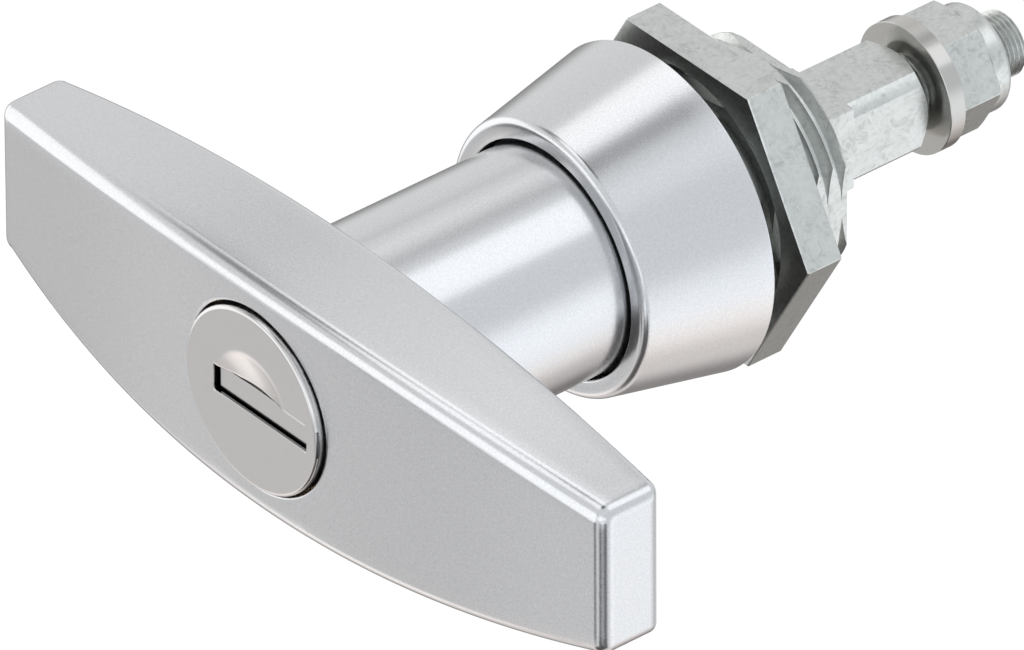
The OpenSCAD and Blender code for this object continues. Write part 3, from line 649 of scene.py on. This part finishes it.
def gripBar(g):
    half, edge = g["length"] / 2, g["edge"]
    frontR = arcR(g["length"], g["depth"] - g["endDepth"])
    sideR = arcR(g["length"], (g["height"] - g["endHeight"]) / 2)
    back = g["front"] + g["depth"]
    cornerSteps, endSteps, faceSteps, topSteps, bowSteps, middleStep = 7, 7, 14, 5, 20, 0.5

    def frontY(x):
        return g["front"] + frontR - math.sqrt(frontR ** 2 - x ** 2)

    def halfHeight(x):
        return g["height"] / 2 - (sideR - math.sqrt(sideR ** 2 - x ** 2))

    # Stations along X: the place, the x whose outline it has, its inset and its corners' radius
    bowStart, bowEnd = -half + edge, -g["middle"]
    stations = []
    for k in range(endSteps + 1):
        t = math.radians(90 - 90 * k / endSteps)
        x = bowStart - edge * math.sin(t)
        stations.append((x, bowStart, edge * (1 - math.cos(t)), edge * math.cos(t)))
    bow = [bowStart + (bowEnd - bowStart) * k / bowSteps for k in range(1, bowSteps)]
    stations += [(x, x, 0, edge) for x in bow]
    middleSteps = int(2 * g["middle"] / middleStep)
    first = len(stations)
    stations += [(x, x, 0, edge) for x in [bowEnd + middleStep * k for k in range(middleSteps + 1)]]
    last = len(stations) - 1
    stations += [(-x, -s, d, c) for x, s, d, c in reversed(stations[:first])]

    def section(x, shape, inset, corner):
        f, b, h = frontY(shape) + inset, back - inset, halfHeight(shape) - inset
        c, cb = corner, corner * g["rearEdge"] / edge
        ring = [(f, -h + c + (2 * h - 2 * c) * k / faceSteps) for k in range(faceSteps + 1)]

        def turn(cy, cz, r, start):
            for k in range(1, cornerSteps):
                a = math.radians(start - 90 * k / cornerSteps)
                ring.append((cy + r * math.cos(a), cz + r * math.sin(a)))
        turn(f + c, h - c, c, 180)
        ring.extend((f + c + (b - f - c - cb) * k / topSteps, h) for k in range(topSteps + 1))
        turn(b - cb, h - cb, cb, 90)
        ring.extend((b, h - cb - (2 * h - 2 * cb) * k / faceSteps) for k in range(faceSteps + 1))
        turn(b - cb, -h + cb, cb, 0)
        ring.extend((b - cb - (b - f - c - cb) * k / topSteps, -h) for k in range(topSteps + 1))
        turn(f + c, -h + c, c, -90)
        return [(x, y, z) for y, z in ring]

    rings = [section(*s) for s in stations]
    n = len(rings[0])
    backFrom = faceSteps + topSteps + 2 * cornerSteps
    verts = [p for ring in rings for p in ring]
    faces = [tuple(range(n)), tuple((len(rings) - 1) * n + k for k in range(n))]
    for i in range(len(rings) - 1):
        for k in range(n):
            # The middle's flat faces are left open for the flanges round the hole
            flat = k < faceSteps or backFrom <= k < backFrom + faceSteps
            if first <= i < last and flat:
                continue
            m = (k + 1) % n
            faces.append((i * n + k, i * n + m, (i + 1) * n + m, (i + 1) * n + k))

    def flange(topIndex, surface, side):
        # From the flat face's outline to the rim of the hole, then round the rim
        top = [(rings[i][topIndex][0], rings[i][topIndex][2]) for i in range(first, last + 1)]
        edgeZ = [-top[-1][1] + 2 * top[-1][1] * k / faceSteps for k in range(faceSteps + 1)]
        outline = top + [(g["middle"], z) for z in reversed(edgeZ[:-1])]
        outline += [(x, -z) for x, z in reversed(top[:-1])]
        outline += [(-g["middle"], z) for z in edgeZ[1:-1]]
        rows = []
        rim = g["holeR"] + g["holeRoll"]
        for t in (0, 0.3, 0.6, 0.82, 0.94, 1):
            row = []
            for x, z in outline:
                s = rim / math.hypot(x, z)
                px, pz = x + (x * s - x) * t, z + (z * s - z) * t
                row.append((px, surface(px), pz))
            rows.append(row)
        rimRow = rows[-1]
        for a in (30, 60, 90):
            r = rim - g["holeRoll"] * math.sin(math.radians(a))
            drop = side * g["holeRoll"] * (1 - math.cos(math.radians(a)))
            rows.append([(px * r / rim, py + drop, pz * r / rim) for px, py, pz in rimRow])
        return rows

    frontRows = flange(faceSteps, frontY, 1)
    backRows = flange(backFrom, lambda x: back, -1)
    rows = frontRows + backRows[::-1]
    faces += ringFaces(len(rows), len(rows[0]), base=len(verts))
    verts += [p for row in rows for p in row]
    return toMesh("bar", verts, faces)


stem = {
    "r": 10.425, "start": -34, "back": -2.4, "rowStep": 1.5, "endEdge": 0.3, "grooveEdge": 0.1,
    "journalR": 7, "journalMiddle": 11.2, "journalBack": 13.9, "lockR": 8.8, "lockBack": -16.5,
    "clipR": 7.4, "clipBack": -15.2, "camR": 6.8, "camBack": -9.7, "sealFront": -11.5, "sealBack": -10.0,
    "sealR": 9.345, "ringFront": 12.35, "ringBack": 13.35, "ringR": 6.4,
    "socket": 8.1, "pinY": 3.95, "pinR": 1.5, "boltBody": 8.1, "boltNose": 5.1, "boltNoseLow": 1,
    "boltFront": -9.7, "boltBack": -7.2, "boltLow": -4.0, "boltHigh": 8.805,
    "ballY": -5.55, "ballHole": 1.25, "barrelPinY": -19.5, "barrelPinR": 1.05, "barrelPinTop": -8,
    "stopR": 8.9125, "stopHalf": 0.95, "stopFront": -3.9, "stopAngle": 6.12,
}


def stemShape(s):
    r, j, e, g = s["r"], s["journalR"], s["endEdge"], s["grooveEdge"]
    along = [s["start"] + k * s["rowStep"] for k in range(1, 15)]
    profile = [(s["lockR"], s["start"]), (r, s["start"])] + [(r, y) for y in along]
    profile += [(r, s["sealFront"] - g), (r - g, s["sealFront"]), (s["sealR"], s["sealFront"]),
                (s["sealR"], s["sealBack"]), (r - g, s["sealBack"]), (r, s["sealBack"] + g)]
    profile += [(r, s["back"] - e), (r - e, s["back"]), (j, s["back"]), (j, s["journalMiddle"]),
                (j, s["ringFront"]), (s["ringR"], s["ringFront"]), (s["ringR"], s["ringBack"]),
                (j, s["ringBack"]), (j, s["journalBack"] - e), (j - e, s["journalBack"]),
                (0, s["journalBack"]), (0, s["camBack"]), (s["camR"], s["camBack"]),
                (s["camR"], s["clipBack"]), (s["clipR"], s["clipBack"]), (s["clipR"], s["lockBack"]),
                (s["lockR"], s["lockBack"])]
    body = turned("stem", profile, evenAngles(144))
    # The stop groove runs a quarter turn from the pin's place towards the top
    inner, outer = s["stopR"] - s["stopHalf"], s["stopR"] + s["stopHalf"]
    steps, over = 24, s["stopAngle"]
    sweep = [math.radians(90 + over - (90 + 2 * over) * k / steps) for k in range(steps + 1)]
    verts = [(rr * math.sin(a), y, rr * math.cos(a)) for a in sweep
             for rr, y in ((inner, s["stopFront"]), (outer, s["stopFront"]), (outer, 0), (inner, 0))]
    last = len(verts) - 1
    faces = [(0, 1, 2, 3), (last, last - 1, last - 2, last - 3), *ringFaces(steps + 1, 4)]
    half, bolt, nose = s["socket"] / 2, s["boltBody"] / 2, s["boltNose"] / 2
    tools = [
        block(-half, half, s["back"] - 0.1, s["journalBack"] + 1, -half, half),
        block(-bolt, bolt, s["boltFront"] - 0.02, s["boltBack"], s["boltLow"], s["boltHigh"]),
        block(-nose, nose, s["boltFront"], s["boltBack"], s["boltNoseLow"], r + 1),
        peg((0, s["ballY"], 0), "X", s["ballHole"], -r - 1, r + 1),
        peg((0, s["barrelPinY"], 0), "Z", s["barrelPinR"], -r - 1, s["barrelPinTop"]),
        peg((0, s["pinY"], 0), "Z", s["pinR"], -j - 1, j + 1),
        toMesh("tool", verts, faces),
    ]
    return cutAway(body, tools)


gripAndStem = joinMeshes("gripAndStem", [gripBar(grip), stemShape(stem)])
finishPiece("gripAndStem", gripAndStem, "handle", ["t_grip"], "satin_chrome", 34)


escutcheon = {
    "front": -12.2, "boreR": 10.745, "boreEdge": 0.22, "boreRows": (-4, -6, -8, -10),
    "frontR": 12.5, "backR": 14.9, "lipR": 0.8, "backEdge": 0.14,
    "recessR": 12.75, "recess": -2.2, "recessEdge": 0.1,
    "boltNose": 5.3, "boltFront": -9.8, "boltBack": -7.1, "notchFrom": 9, "notchR": 12.155,
    "ballR": 1.27, "ballAt": 9.855, "ballY": -5.55,
}


def escutcheonShape(e):
    # The cone leans outwards towards the panel, and the arcs of its lip meet it at a tangent
    lean = math.degrees(math.atan((e["backR"] - e["frontR"]) / -e["front"]))
    c, f, slope = e["lipR"], e["front"], math.radians(lean)
    lipX = e["frontR"] + c * math.tan(slope) - c / math.cos(slope)
    b = e["boreEdge"]
    profile = arcPoints(e["boreR"] + b, f + b, b, 180, 270, 4)
    profile += arcPoints(lipX, f + c, c, -90, -lean, 10)
    bottom = (lipX + c * math.cos(slope), f + c - c * math.sin(slope))
    w = e["backEdge"]
    top = (e["backR"] - w * math.sin(slope), -w * math.cos(slope))
    dr, dy, steps = top[0] - bottom[0], top[1] - bottom[1], 6
    profile += [(bottom[0] + dr * k / steps, bottom[1] + dy * k / steps) for k in range(1, steps + 1)]
    profile += [(e["backR"] - 0.4 * w, -0.3 * w), (e["backR"] - w, 0), (e["recessR"] + e["recessEdge"], 0),
                (e["recessR"], -e["recessEdge"]), (e["recessR"], e["recess"]), (e["boreR"], e["recess"])]
    profile += [(e["boreR"], y) for y in e["boreRows"]]
    body = turned("escutcheon", profile, evenAngles(192))
    # Two notches for the bolt, and four dents for the detent's balls
    nose, notch = e["boltNose"] / 2, (e["notchFrom"], e["notchR"])
    tools = [block(-nose, nose, e["boltFront"], e["boltBack"], *notch),
             block(*notch, e["boltFront"], e["boltBack"], -nose, nose)]
    for x, z in ((1, 0), (-1, 0), (0, 1), (0, -1)):
        tools.append(ball((x * e["ballAt"], e["ballY"], z * e["ballAt"]), e["ballR"]))
    return cutAway(body, tools)


finishPiece("escutcheonCone", escutcheonShape(escutcheon), "housing", ["escutcheon"], "satin_chrome")


def threadTree():
    tree = bpy.data.node_groups.new("threadTree", "GeometryNodeTree")
    inputs = {
        "Float": ("Radius", "Pitch", "Depth", "Start", "Length", "Bore", "Flats", "Rear Bevel"),
        "Int": ("Segments", "Rows per Turn", "Turns"),
        "Material": ("Finish",),
    }
    for kind, labels in inputs.items():
        for label in labels:
            tree.interface.new_socket(label, in_out="INPUT", socket_type="NodeSocket" + kind)
    tree.interface.new_socket("Mesh", in_out="OUTPUT", socket_type="NodeSocketGeometry")
    sizes = tree.nodes.new("NodeGroupInput").outputs

    def m(operation, *values):
        return mathNode(tree, operation, *values)

    grid = tree.nodes.new("GeometryNodeMeshGrid")
    setInput(grid, "Size X", 1)
    setInput(grid, "Size Y", 1)
    link(tree, m("ADD", sizes["Segments"], 1), grid.inputs["Vertices X"])
    threadRows = m("MULTIPLY", sizes["Rows per Turn"], m("ADD", sizes["Turns"], 1))
    link(tree, m("ADD", threadRows, 4), grid.inputs["Vertices Y"])
    parts = tree.nodes.new("ShaderNodeSeparateXYZ")
    link(tree, tree.nodes.new("GeometryNodeInputPosition").outputs[0], parts.inputs[0])
    round01 = m("ADD", parts.outputs["X"], 0.5)
    row = m("ROUND", m("MULTIPLY", m("ADD", parts.outputs["Y"], 0.5), m("ADD", threadRows, 3)))
    # Row 0 and the last two are the bore's, and those between follow the helix and lie flat in the ends
    turns = m("ADD", m("DIVIDE", m("SUBTRACT", row, 1), sizes["Rows per Turn"]), m("SUBTRACT", round01, 1))
    along = m("MAXIMUM", m("MINIMUM", m("MULTIPLY", turns, sizes["Pitch"]), sizes["Length"]), 0)
    along = m("MULTIPLY", along, m("LESS_THAN", row, m("ADD", threadRows, 2.5)))
    phase = m("FRACT", m("SUBTRACT", m("DIVIDE", along, sizes["Pitch"]), round01))
    slant = m("ABSOLUTE", m("SUBTRACT", m("MULTIPLY", phase, 2), 1))
    # Crests and roots are flat for a twelfth of the pitch
    flat = 1 / 12
    vee = mathNode(tree, "MULTIPLY", m("SUBTRACT", slant, flat), 1 / (1 - 2 * flat), clamp=True)
    radius = m("SUBTRACT", sizes["Radius"], m("MULTIPLY", sizes["Depth"], vee))
    fromEnd = m("SUBTRACT", sizes["Length"], along)
    bevel = m("ADD", m("SUBTRACT", sizes["Radius"], sizes["Rear Bevel"]), fromEnd)
    radius = m("MINIMUM", radius, bevel)
    isThread = m("MULTIPLY", m("GREATER_THAN", row, 0.5), m("LESS_THAN", row, m("ADD", threadRows, 1.5)))
    bore = m("MULTIPLY", sizes["Bore"], m("SUBTRACT", 1, isThread))
    radius = m("ADD", m("MULTIPLY", radius, isThread), bore)
    angle = m("MULTIPLY", round01, 2 * math.pi)
    place = tree.nodes.new("ShaderNodeCombineXYZ")
    link(tree, m("MULTIPLY", radius, m("SINE", angle)), place.inputs["X"])
    link(tree, m("ADD", along, sizes["Start"]), place.inputs["Y"])
    link(tree, m("MULTIPLY", radius, m("COSINE", angle)), place.inputs["Z"])
    move = tree.nodes.new("GeometryNodeSetPosition")
    link(tree, grid.outputs["Mesh"], move.inputs["Geometry"])
    link(tree, place.outputs[0], move.inputs["Position"])
    weld = tree.nodes.new("GeometryNodeMergeByDistance")
    setInput(weld, "Distance", 0.002 * mm)
    link(tree, move.outputs[0], weld.inputs["Geometry"])
    # Four flats, where the thread has them
    cube = tree.nodes.new("GeometryNodeMeshCube")
    size = tree.nodes.new("ShaderNodeCombineXYZ")
    link(tree, sizes["Flats"], size.inputs["X"])
    setInput(size, "Y", 100 * mm)
    link(tree, sizes["Flats"], size.inputs["Z"])
    link(tree, size.outputs[0], cube.inputs["Size"])
    trim = tree.nodes.new("GeometryNodeMeshBoolean")
    trim.operation = "INTERSECT"
    trim.solver = "EXACT"
    link(tree, weld.outputs[0], trim.inputs["Mesh 2"])
    link(tree, cube.outputs["Mesh"], trim.inputs["Mesh 2"])
    choose = tree.nodes.new("GeometryNodeSwitch")
    choose.input_type = "GEOMETRY"
    link(tree, m("GREATER_THAN", sizes["Flats"], 0), choose.inputs["Switch"])
    link(tree, weld.outputs[0], choose.inputs["False"])
    link(tree, trim.outputs["Mesh"], choose.inputs["True"])
    real = tree.nodes.new("GeometryNodeRealizeInstances")
    link(tree, choose.outputs[0], real.inputs[0])
    paint = tree.nodes.new("GeometryNodeSetMaterial")
    link(tree, real.outputs[0], paint.inputs["Geometry"])
    link(tree, sizes["Finish"], paint.inputs["Material"])
    link(tree, paint.outputs[0], tree.nodes.new("NodeGroupOutput").inputs[0])
    return tree


threads = threadTree()


def threadMesh(name, sizes):
    carrier = addObject(name, bpy.data.meshes.new(name))
    modifier = carrier.modifiers.new("threads", "NODES")
    modifier.node_group = threads
    for item in threads.interface.items_tree:
        if item.item_type == "SOCKET" and item.in_out == "INPUT":
            modifier[item.identifier] = sizes[item.name]
    mesh = evaluated(carrier)
    bpy.data.objects.remove(carrier)
    cleanMesh(mesh)
    return mesh


bodyThread = {
    "Radius": 11 * mm, "Pitch": 1.5 * mm, "Depth": 0.9195 * mm, "Start": 0.4 * mm, "Length": 11.5 * mm,
    "Bore": 7.05 * mm, "Flats": 20.1 * mm, "Rear Bevel": 0.25 * mm,
    "Segments": 240, "Rows per Turn": 24, "Turns": 8, "Finish": finishes["zinc_steel"],
}
studThread = {
    "Radius": 3 * mm, "Pitch": 0.5 * mm, "Depth": 0.3065 * mm, "Start": 14 * mm, "Length": 23.8 * mm,
    "Bore": 0.0, "Flats": 0.0, "Rear Bevel": 0.25 * mm,
    "Segments": 72, "Rows per Turn": 12, "Turns": 48, "Finish": finishes["zinc_steel"],
}
bodyFlange = {
    "r": 12.7, "front": -2.2, "back": -0.7, "neckR": 10.08, "neckBack": 0.45, "boreR": 7.06, "edge": 0.15,
}


def flangeShape(s):
    r, f, b, e = s["r"], s["front"], s["back"], s["edge"]
    return turned("flange", [(s["boreR"], f), (r - e, f), (r, f + e), (r, b - e), (r - e, b), (s["neckR"], b),
                             (s["neckR"], s["neckBack"]), (s["boreR"], s["neckBack"])], evenAngles(144))


bodyWithThread = joinMeshes("bodyWithThread", [threadMesh("bodyThread", bodyThread), flangeShape(bodyFlange)])
finishPiece("bodyWithThread", bodyWithThread, "housing", ["threaded_body"], "zinc_steel", 25)
studWithThread = threadMesh("studThread", studThread)
finishPiece("studWithThread", studWithThread, "handle", ["threaded_stud"], "zinc_steel", 25)


mountingNut = {
    "flats": 27, "front": 3, "back": 6.7, "corner": 0.12, "edge": 0.1, "boreR": 11.06, "faceR": 12.9,
    "frontMouth": 12.06, "frontMouthDepth": 1.0, "rearMouth": 11.66, "rearMouthDepth": 0.6,
}


def nutShape(n):
    e, f, b = n["edge"], n["front"], n["back"]
    outer, inset = bevelRadii(n, 6)
    profile = [(n["frontMouth"], f), (n["faceR"], f), (inset, f), (outer, f + e),
               (outer, b - e), (inset, b), (n["faceR"], b), (n["rearMouth"], b),
               (n["boreR"], b - n["rearMouthDepth"]), (n["boreR"], f + n["frontMouthDepth"])]
    return turned("mountingNut", profile, polygonAngles(6, 20, 0.25))


finishPiece("mountingNutHex", nutShape(mountingNut), "housing", ["mounting_nut"], "zinc_steel", 20)


spindle = {
    "flats": 8, "corner": 0.1, "front": -2.4, "back": 26, "sharpBack": 17.8, "turnedR": 5.025,
    "sharpRows": (-1, 2, 6, 10, 14), "turnedRows": (20, 23), "edge": 0.06, "endR": 4.02, "endSlope": 0.75,
    "socketR": 3.06, "socketFront": 13.5, "pinY": 3.95, "pinR": 1.55,
}


def spindleShape(s):
    e = s["edge"]
    square, inset = bevelRadii(s, 4)

    def rounded(a):
        return min(square(a), s["turnedR"])

    def coneStart(a):
        return s["back"] - e - s["endSlope"] * max(rounded(a) - s["endR"], 0)

    def coneEnd(a):
        return min(inset(a), s["endR"])

    # The angles of a quarter have one where the turned corner starts, and are close together at the corner
    start = math.degrees(math.acos(s["flats"] / 2 / s["turnedR"]))
    quarter = [0, 8, 16, 24, 31, start, 39.6, 42, 44.1, 44.5,
               45, 45.5, 45.9, 48, 50.4, 90 - start, 59, 66, 74, 82]
    angles = [math.radians(q + a) for q in (0, 90, 180, 270) for a in quarter]
    profile = [(0, s["front"]), (inset, s["front"]), (square, s["front"] + e)]
    profile += [(square, y) for y in (*s["sharpRows"], s["sharpBack"])]
    profile += [(rounded, y) for y in (s["sharpBack"] + 0.01, *s["turnedRows"], coneStart)]
    profile += [(coneEnd, s["back"]), (s["socketR"], s["back"]), (s["socketR"], s["socketFront"]),
                (0, s["socketFront"])]
    body = turned("spindle", profile, angles, closed=False)
    return cutAway(body, [peg((0, s["pinY"], 0), "Z", s["pinR"], -6, 6)])


finishPiece("spindleSquare", spindleShape(spindle), "handle", ["spindle"], "zinc_steel", 25)


lockNut = {
    "flats": 10, "corner": 0.12, "edge": 0.08, "front": 28.4, "faceR": 4.6, "hexBack": 32.65,
    "coneR": 5.4, "coneSlope": 0.577, "back": 34.6, "collarR": 4.9, "collarRound": 0.6,
    "boreR": 3.06, "boreEdge": 0.3, "insertR": 4.05, "insertBack": 34.1, "mouthR": 3.56, "smallEdge": 0.05,
}


def lockNutShape(n):
    e, f, b, h = n["edge"], n["front"], n["back"], n["hexBack"]
    r, c, small = n["collarR"], n["collarRound"], n["smallEdge"]
    outer, inset = bevelRadii(n, 6)

    def coneStart(a):
        # A cone takes the hexagon's rear corners off
        return h - e - n["coneSlope"] * max(outer(a) - n["coneR"], 0)

    def coneEnd(a):
        return min(inset(a), n["coneR"])

    profile = [(n["boreR"] + n["boreEdge"], f), (n["faceR"], f), (inset, f), (outer, f + e),
               (outer, coneStart), (coneEnd, h), (r + small, h), (r, h + small)]
    profile += arcPoints(r - c, b - c, c, 0, 90, 6)
    profile += [(n["mouthR"], b), (n["mouthR"], n["insertBack"]), (n["insertR"], n["insertBack"]),
                (n["insertR"], h - small), (n["boreR"], h - small), (n["boreR"], f + n["boreEdge"])]
    return turned("lockNut", profile, polygonAngles(6, 16, 0.7))


finishPiece("lockNutHex", lockNutShape(lockNut), "handle", ["lock_nut"], "zinc_steel", 25)


endWasher = {"r": 6, "boreR": 3.2, "front": 26.8, "back": 28.4, "edge": 0.05}
nylonRing = {"r": 4.0, "boreR": 3.02, "front": 32.65, "back": 34.05, "edge": 0.12}


def ringShape(name, s, segments):
    # A flat ring with small bevels
    r, bore, f, b, e = (s[k] for k in ("r", "boreR", "front", "back", "edge"))
    return turned(name, [(bore + e, f), (r - e, f), (r, f + e), (r, b - e), (r - e, b), (bore + e, b),
                         (bore, b - e), (bore, f + e)], evenAngles(segments))


finishPiece("endWasherRing", ringShape("endWasher", endWasher, 144), "handle", ["end_washer"], "bright_steel")
finishPiece("nylonRing", ringShape("nylonRing", nylonRing, 80), "handle", ["nylon_insert"], "white_nylon")


stemSeal = {"midR": 10.045, "y": -10.75, "r": 0.65}
panelSeal = {"r": 12.6, "boreR": 10.4, "front": -0.7, "back": -0.05, "edge": 0.12}
backWasher = {"r": 8.6, "boreR": 7.05, "front": 11.95, "back": 12.35, "edge": 0.06}
snapRing = {"r": 8.2, "boreR": 6.45, "front": 12.4, "back": 13.3, "edge": 0.1, "gap": 2.4, "gapEdge": 0.08}

sealArc = arcPoints(stemSeal["midR"], stemSeal["y"], stemSeal["r"], 0, 345, 23)
stemSealMesh = turned("stemSeal", sealArc, evenAngles(144))
panelSealMesh = ringShape("panelSeal", panelSeal, 144)
backWasherMesh = ringShape("backWasher", backWasher, 120)
finishPiece("stemSealRing", stemSealMesh, "handle", ["stem_o_ring"], "black_rubber")
finishPiece("panelSealRing", panelSealMesh, "housing", ["panel_seal"], "black_rubber")
finishPiece("backWasherRing", backWasherMesh, "handle", ["retaining_washer"], "bright_steel")


def snapRingShape(s):
    half = s["gap"] / 2
    gap = block(-half, half, s["front"] - 1, s["back"] + 1, -s["r"] - 1, 0)
    return roundEdges(cutAway(ringShape("snapRing", s, 120), [gap]), s["gapEdge"])


finishPiece("snapRingOpen", snapRingShape(snapRing), "handle", ["retaining_ring"], "dark_steel")


lockCap = {
    "r": 8.5, "front": -43.93, "sheet": 0.3, "edge": 0.32, "skirtBack": -41.2, "skirtR": 8.0,
    "slotLeft": -4.8, "slotRight": 7.2, "slotHalf": 1.275, "slotCorner": 0.12, "slotBevel": 0.05,
    "dishR": 4.4, "dishDepth": 0.6, "dishSoft": 0.08,
}


def capShape(c):
    slope = 2 * c["dishDepth"] / c["dishR"]
    midX, halfX = (c["slotLeft"] + c["slotRight"]) / 2, (c["slotRight"] - c["slotLeft"]) / 2
    halfZ, k = c["slotHalf"], c["slotCorner"]
    endSteps, sideSteps, faceRows, edgeRows = 20, 56, 36, 6

    def dish(x, z):
        # A shallow dish above the slot, with a soft rim
        if z < halfZ - 0.02:
            return 0
        t = (c["dishR"] ** 2 - x ** 2 - z ** 2) / (2 * c["dishR"] * c["dishSoft"])
        return slope * c["dishSoft"] * (t if t > 20 else math.log1p(math.exp(t)) if t > -20 else 0)

    outline = []
    corners = [(1, 1), (1, -1), (-1, -1), (-1, 1)]
    for i, (sx, sz) in enumerate(corners):
        cx, cz = sx * (halfX - k), sz * (halfZ - k)
        for j in range(4):
            a = math.radians(90 * i + 30 * j)
            outline.append((cx + k * math.sin(a), cz + k * math.cos(a)))
        # Then straight on to where the next corner starts
        x0, z0 = outline[-1]
        nx, nz = corners[(i + 1) % 4]
        x1 = nx * (halfX - k) + (k * nx if nx == sx else 0)
        z1 = nz * (halfZ - k) + (k * nz if nz == sz else 0)
        steps = endSteps if nx == sx else sideSteps
        for j in range(1, steps):
            t = j / steps
            outline.append((x0 + (x1 - x0) * t, z0 + (z1 - z0) * t))

    rows = []

    def addRow(grow, y):
        # The slot's outline, grown a little, at a depth below the face
        row = []
        for x, z in outline:
            gx = grow * max(-1, min(1, (x / halfX) ** 15))
            gz = grow * (1 if z > halfZ * 0.7 else -1 if z < -halfZ * 0.7 else z / halfZ)
            row.append((midX + x + gx, c["front"] + dish(midX + x, z) + y, z + gz))
        rows.append(row)

    def addBlend(t, radius, y, useDish=True):
        # A row from the slot's outline (t = 0) to a circle (t = 1)
        row = []
        for x, z in outline:
            a = math.atan2(x / halfX, z / halfZ)
            cx, cz = radius * math.sin(a), radius * math.cos(a)
            px, pz = midX + x + (cx - midX - x) * t, z + (cz - z) * t
            row.append((px, c["front"] + y + (dish(px, pz) if useDish else 0), pz))
        rows.append(row)

    faceR, under, skirt = c["r"] - c["edge"], c["sheet"], c["skirtBack"] - c["front"]
    for t in (1, 0.85, 0.7, 0.55, 0.4, 0.25, 0.1):
        addBlend(t, c["skirtR"], under)
    addRow(0, under)
    addRow(0, c["slotBevel"])
    addRow(c["slotBevel"] * 0.7, c["slotBevel"] * 0.3)
    for i in range(1, faceRows + 1):
        addBlend(i / faceRows, faceR, 0)
    for i in range(1, edgeRows + 1):
        a = math.radians(90 / edgeRows * i)
        addBlend(1, faceR + c["edge"] * math.sin(a), c["edge"] * (1 - math.cos(a)), False)
    addBlend(1, c["r"], skirt, False)
    addBlend(1, c["skirtR"], skirt, False)
    faces = ringFaces(len(rows), len(outline), closed=True)
    return toMesh("lockCap", [p for row in rows for p in row], faces)


finishPiece("lockCapFace", capShape(lockCap), "plug", ["plug_cap"], "satin_nickel", 32)


shutter = {
    "left": -4.4, "right": 6.8, "front": -43.53, "thick": 0.5, "bottom": -1.175, "top": 1.2, "edge": 0.04,
    "curlFrom": -0.72, "curlR": 0.9, "ear": 0.4, "earR": 0.38, "earFoot": 0.2, "earInset": 0.01,
    "pivotY": -43.15, "pivotZ": 1.755, "pinR": 0.28,
}


def shutterShape(s):
    f, b, r = s["front"], s["front"] + s["thick"], s["thick"] / 2

    def sheet(outline, x0, x1):
        return prism(*([(x, y, z) for y, z in outline] for x in (x0, x1)))

    # The lower lip turns back a little, to guide the key
    lip = arcPoints(f + s["curlR"], s["curlFrom"], s["curlR"], 180, 208, 7)
    rounded = arcPoints(b - r, s["bottom"] + r, r, -90, 0, 6)
    plate = sheet([(f, s["top"]), *lip, *rounded, (b, s["top"])], s["left"], s["right"])
    parts = [roundEdges(plate, s["edge"])]
    eye = arcPoints(s["pivotY"], s["pivotZ"], s["earR"], 0, 180, 12)
    foot = s["top"] - s["earFoot"]
    for x in (s["left"], s["right"] - s["ear"]):
        ear = sheet([(b, foot), *eye, (f, foot)], x + s["earInset"], x + s["ear"] - s["earInset"])
        parts.append(cutAway(ear, [peg((0, s["pivotY"], s["pivotZ"]), "X", s["pinR"], x - 1, x + 1)]))
    return joinMeshes("shutter", parts)


finishPiece("shutterPlate", shutterShape(shutter), "shutter", ["keyway_shutter"], "satin_nickel")


keptParts = {
    "dark_steel": ["stop_pin", "detent_spring", "barrel_pin", "plug_clip", "shutter_pins", "shutter_spring",
                   "wafer_springs", "cam_pin", "spindle_pin"],
    "bright_steel": ["detent_ball_left", "detent_ball_right"],
    "sintered_steel": ["drive_cam", "locking_bolt"],
    "brass": ["lock_barrel", "lock_plug", "wafer_1", "wafer_2", "wafer_3", "wafer_4", "wafer_5"],
}
for slotName, names in keptParts.items():
    for name in names:
        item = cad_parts[name]
        item.data.materials.clear()
        item.data.materials.append(finishes[slotName])
print("finishes set on", sum(len(names) for names in keptParts.values()), "kept parts")
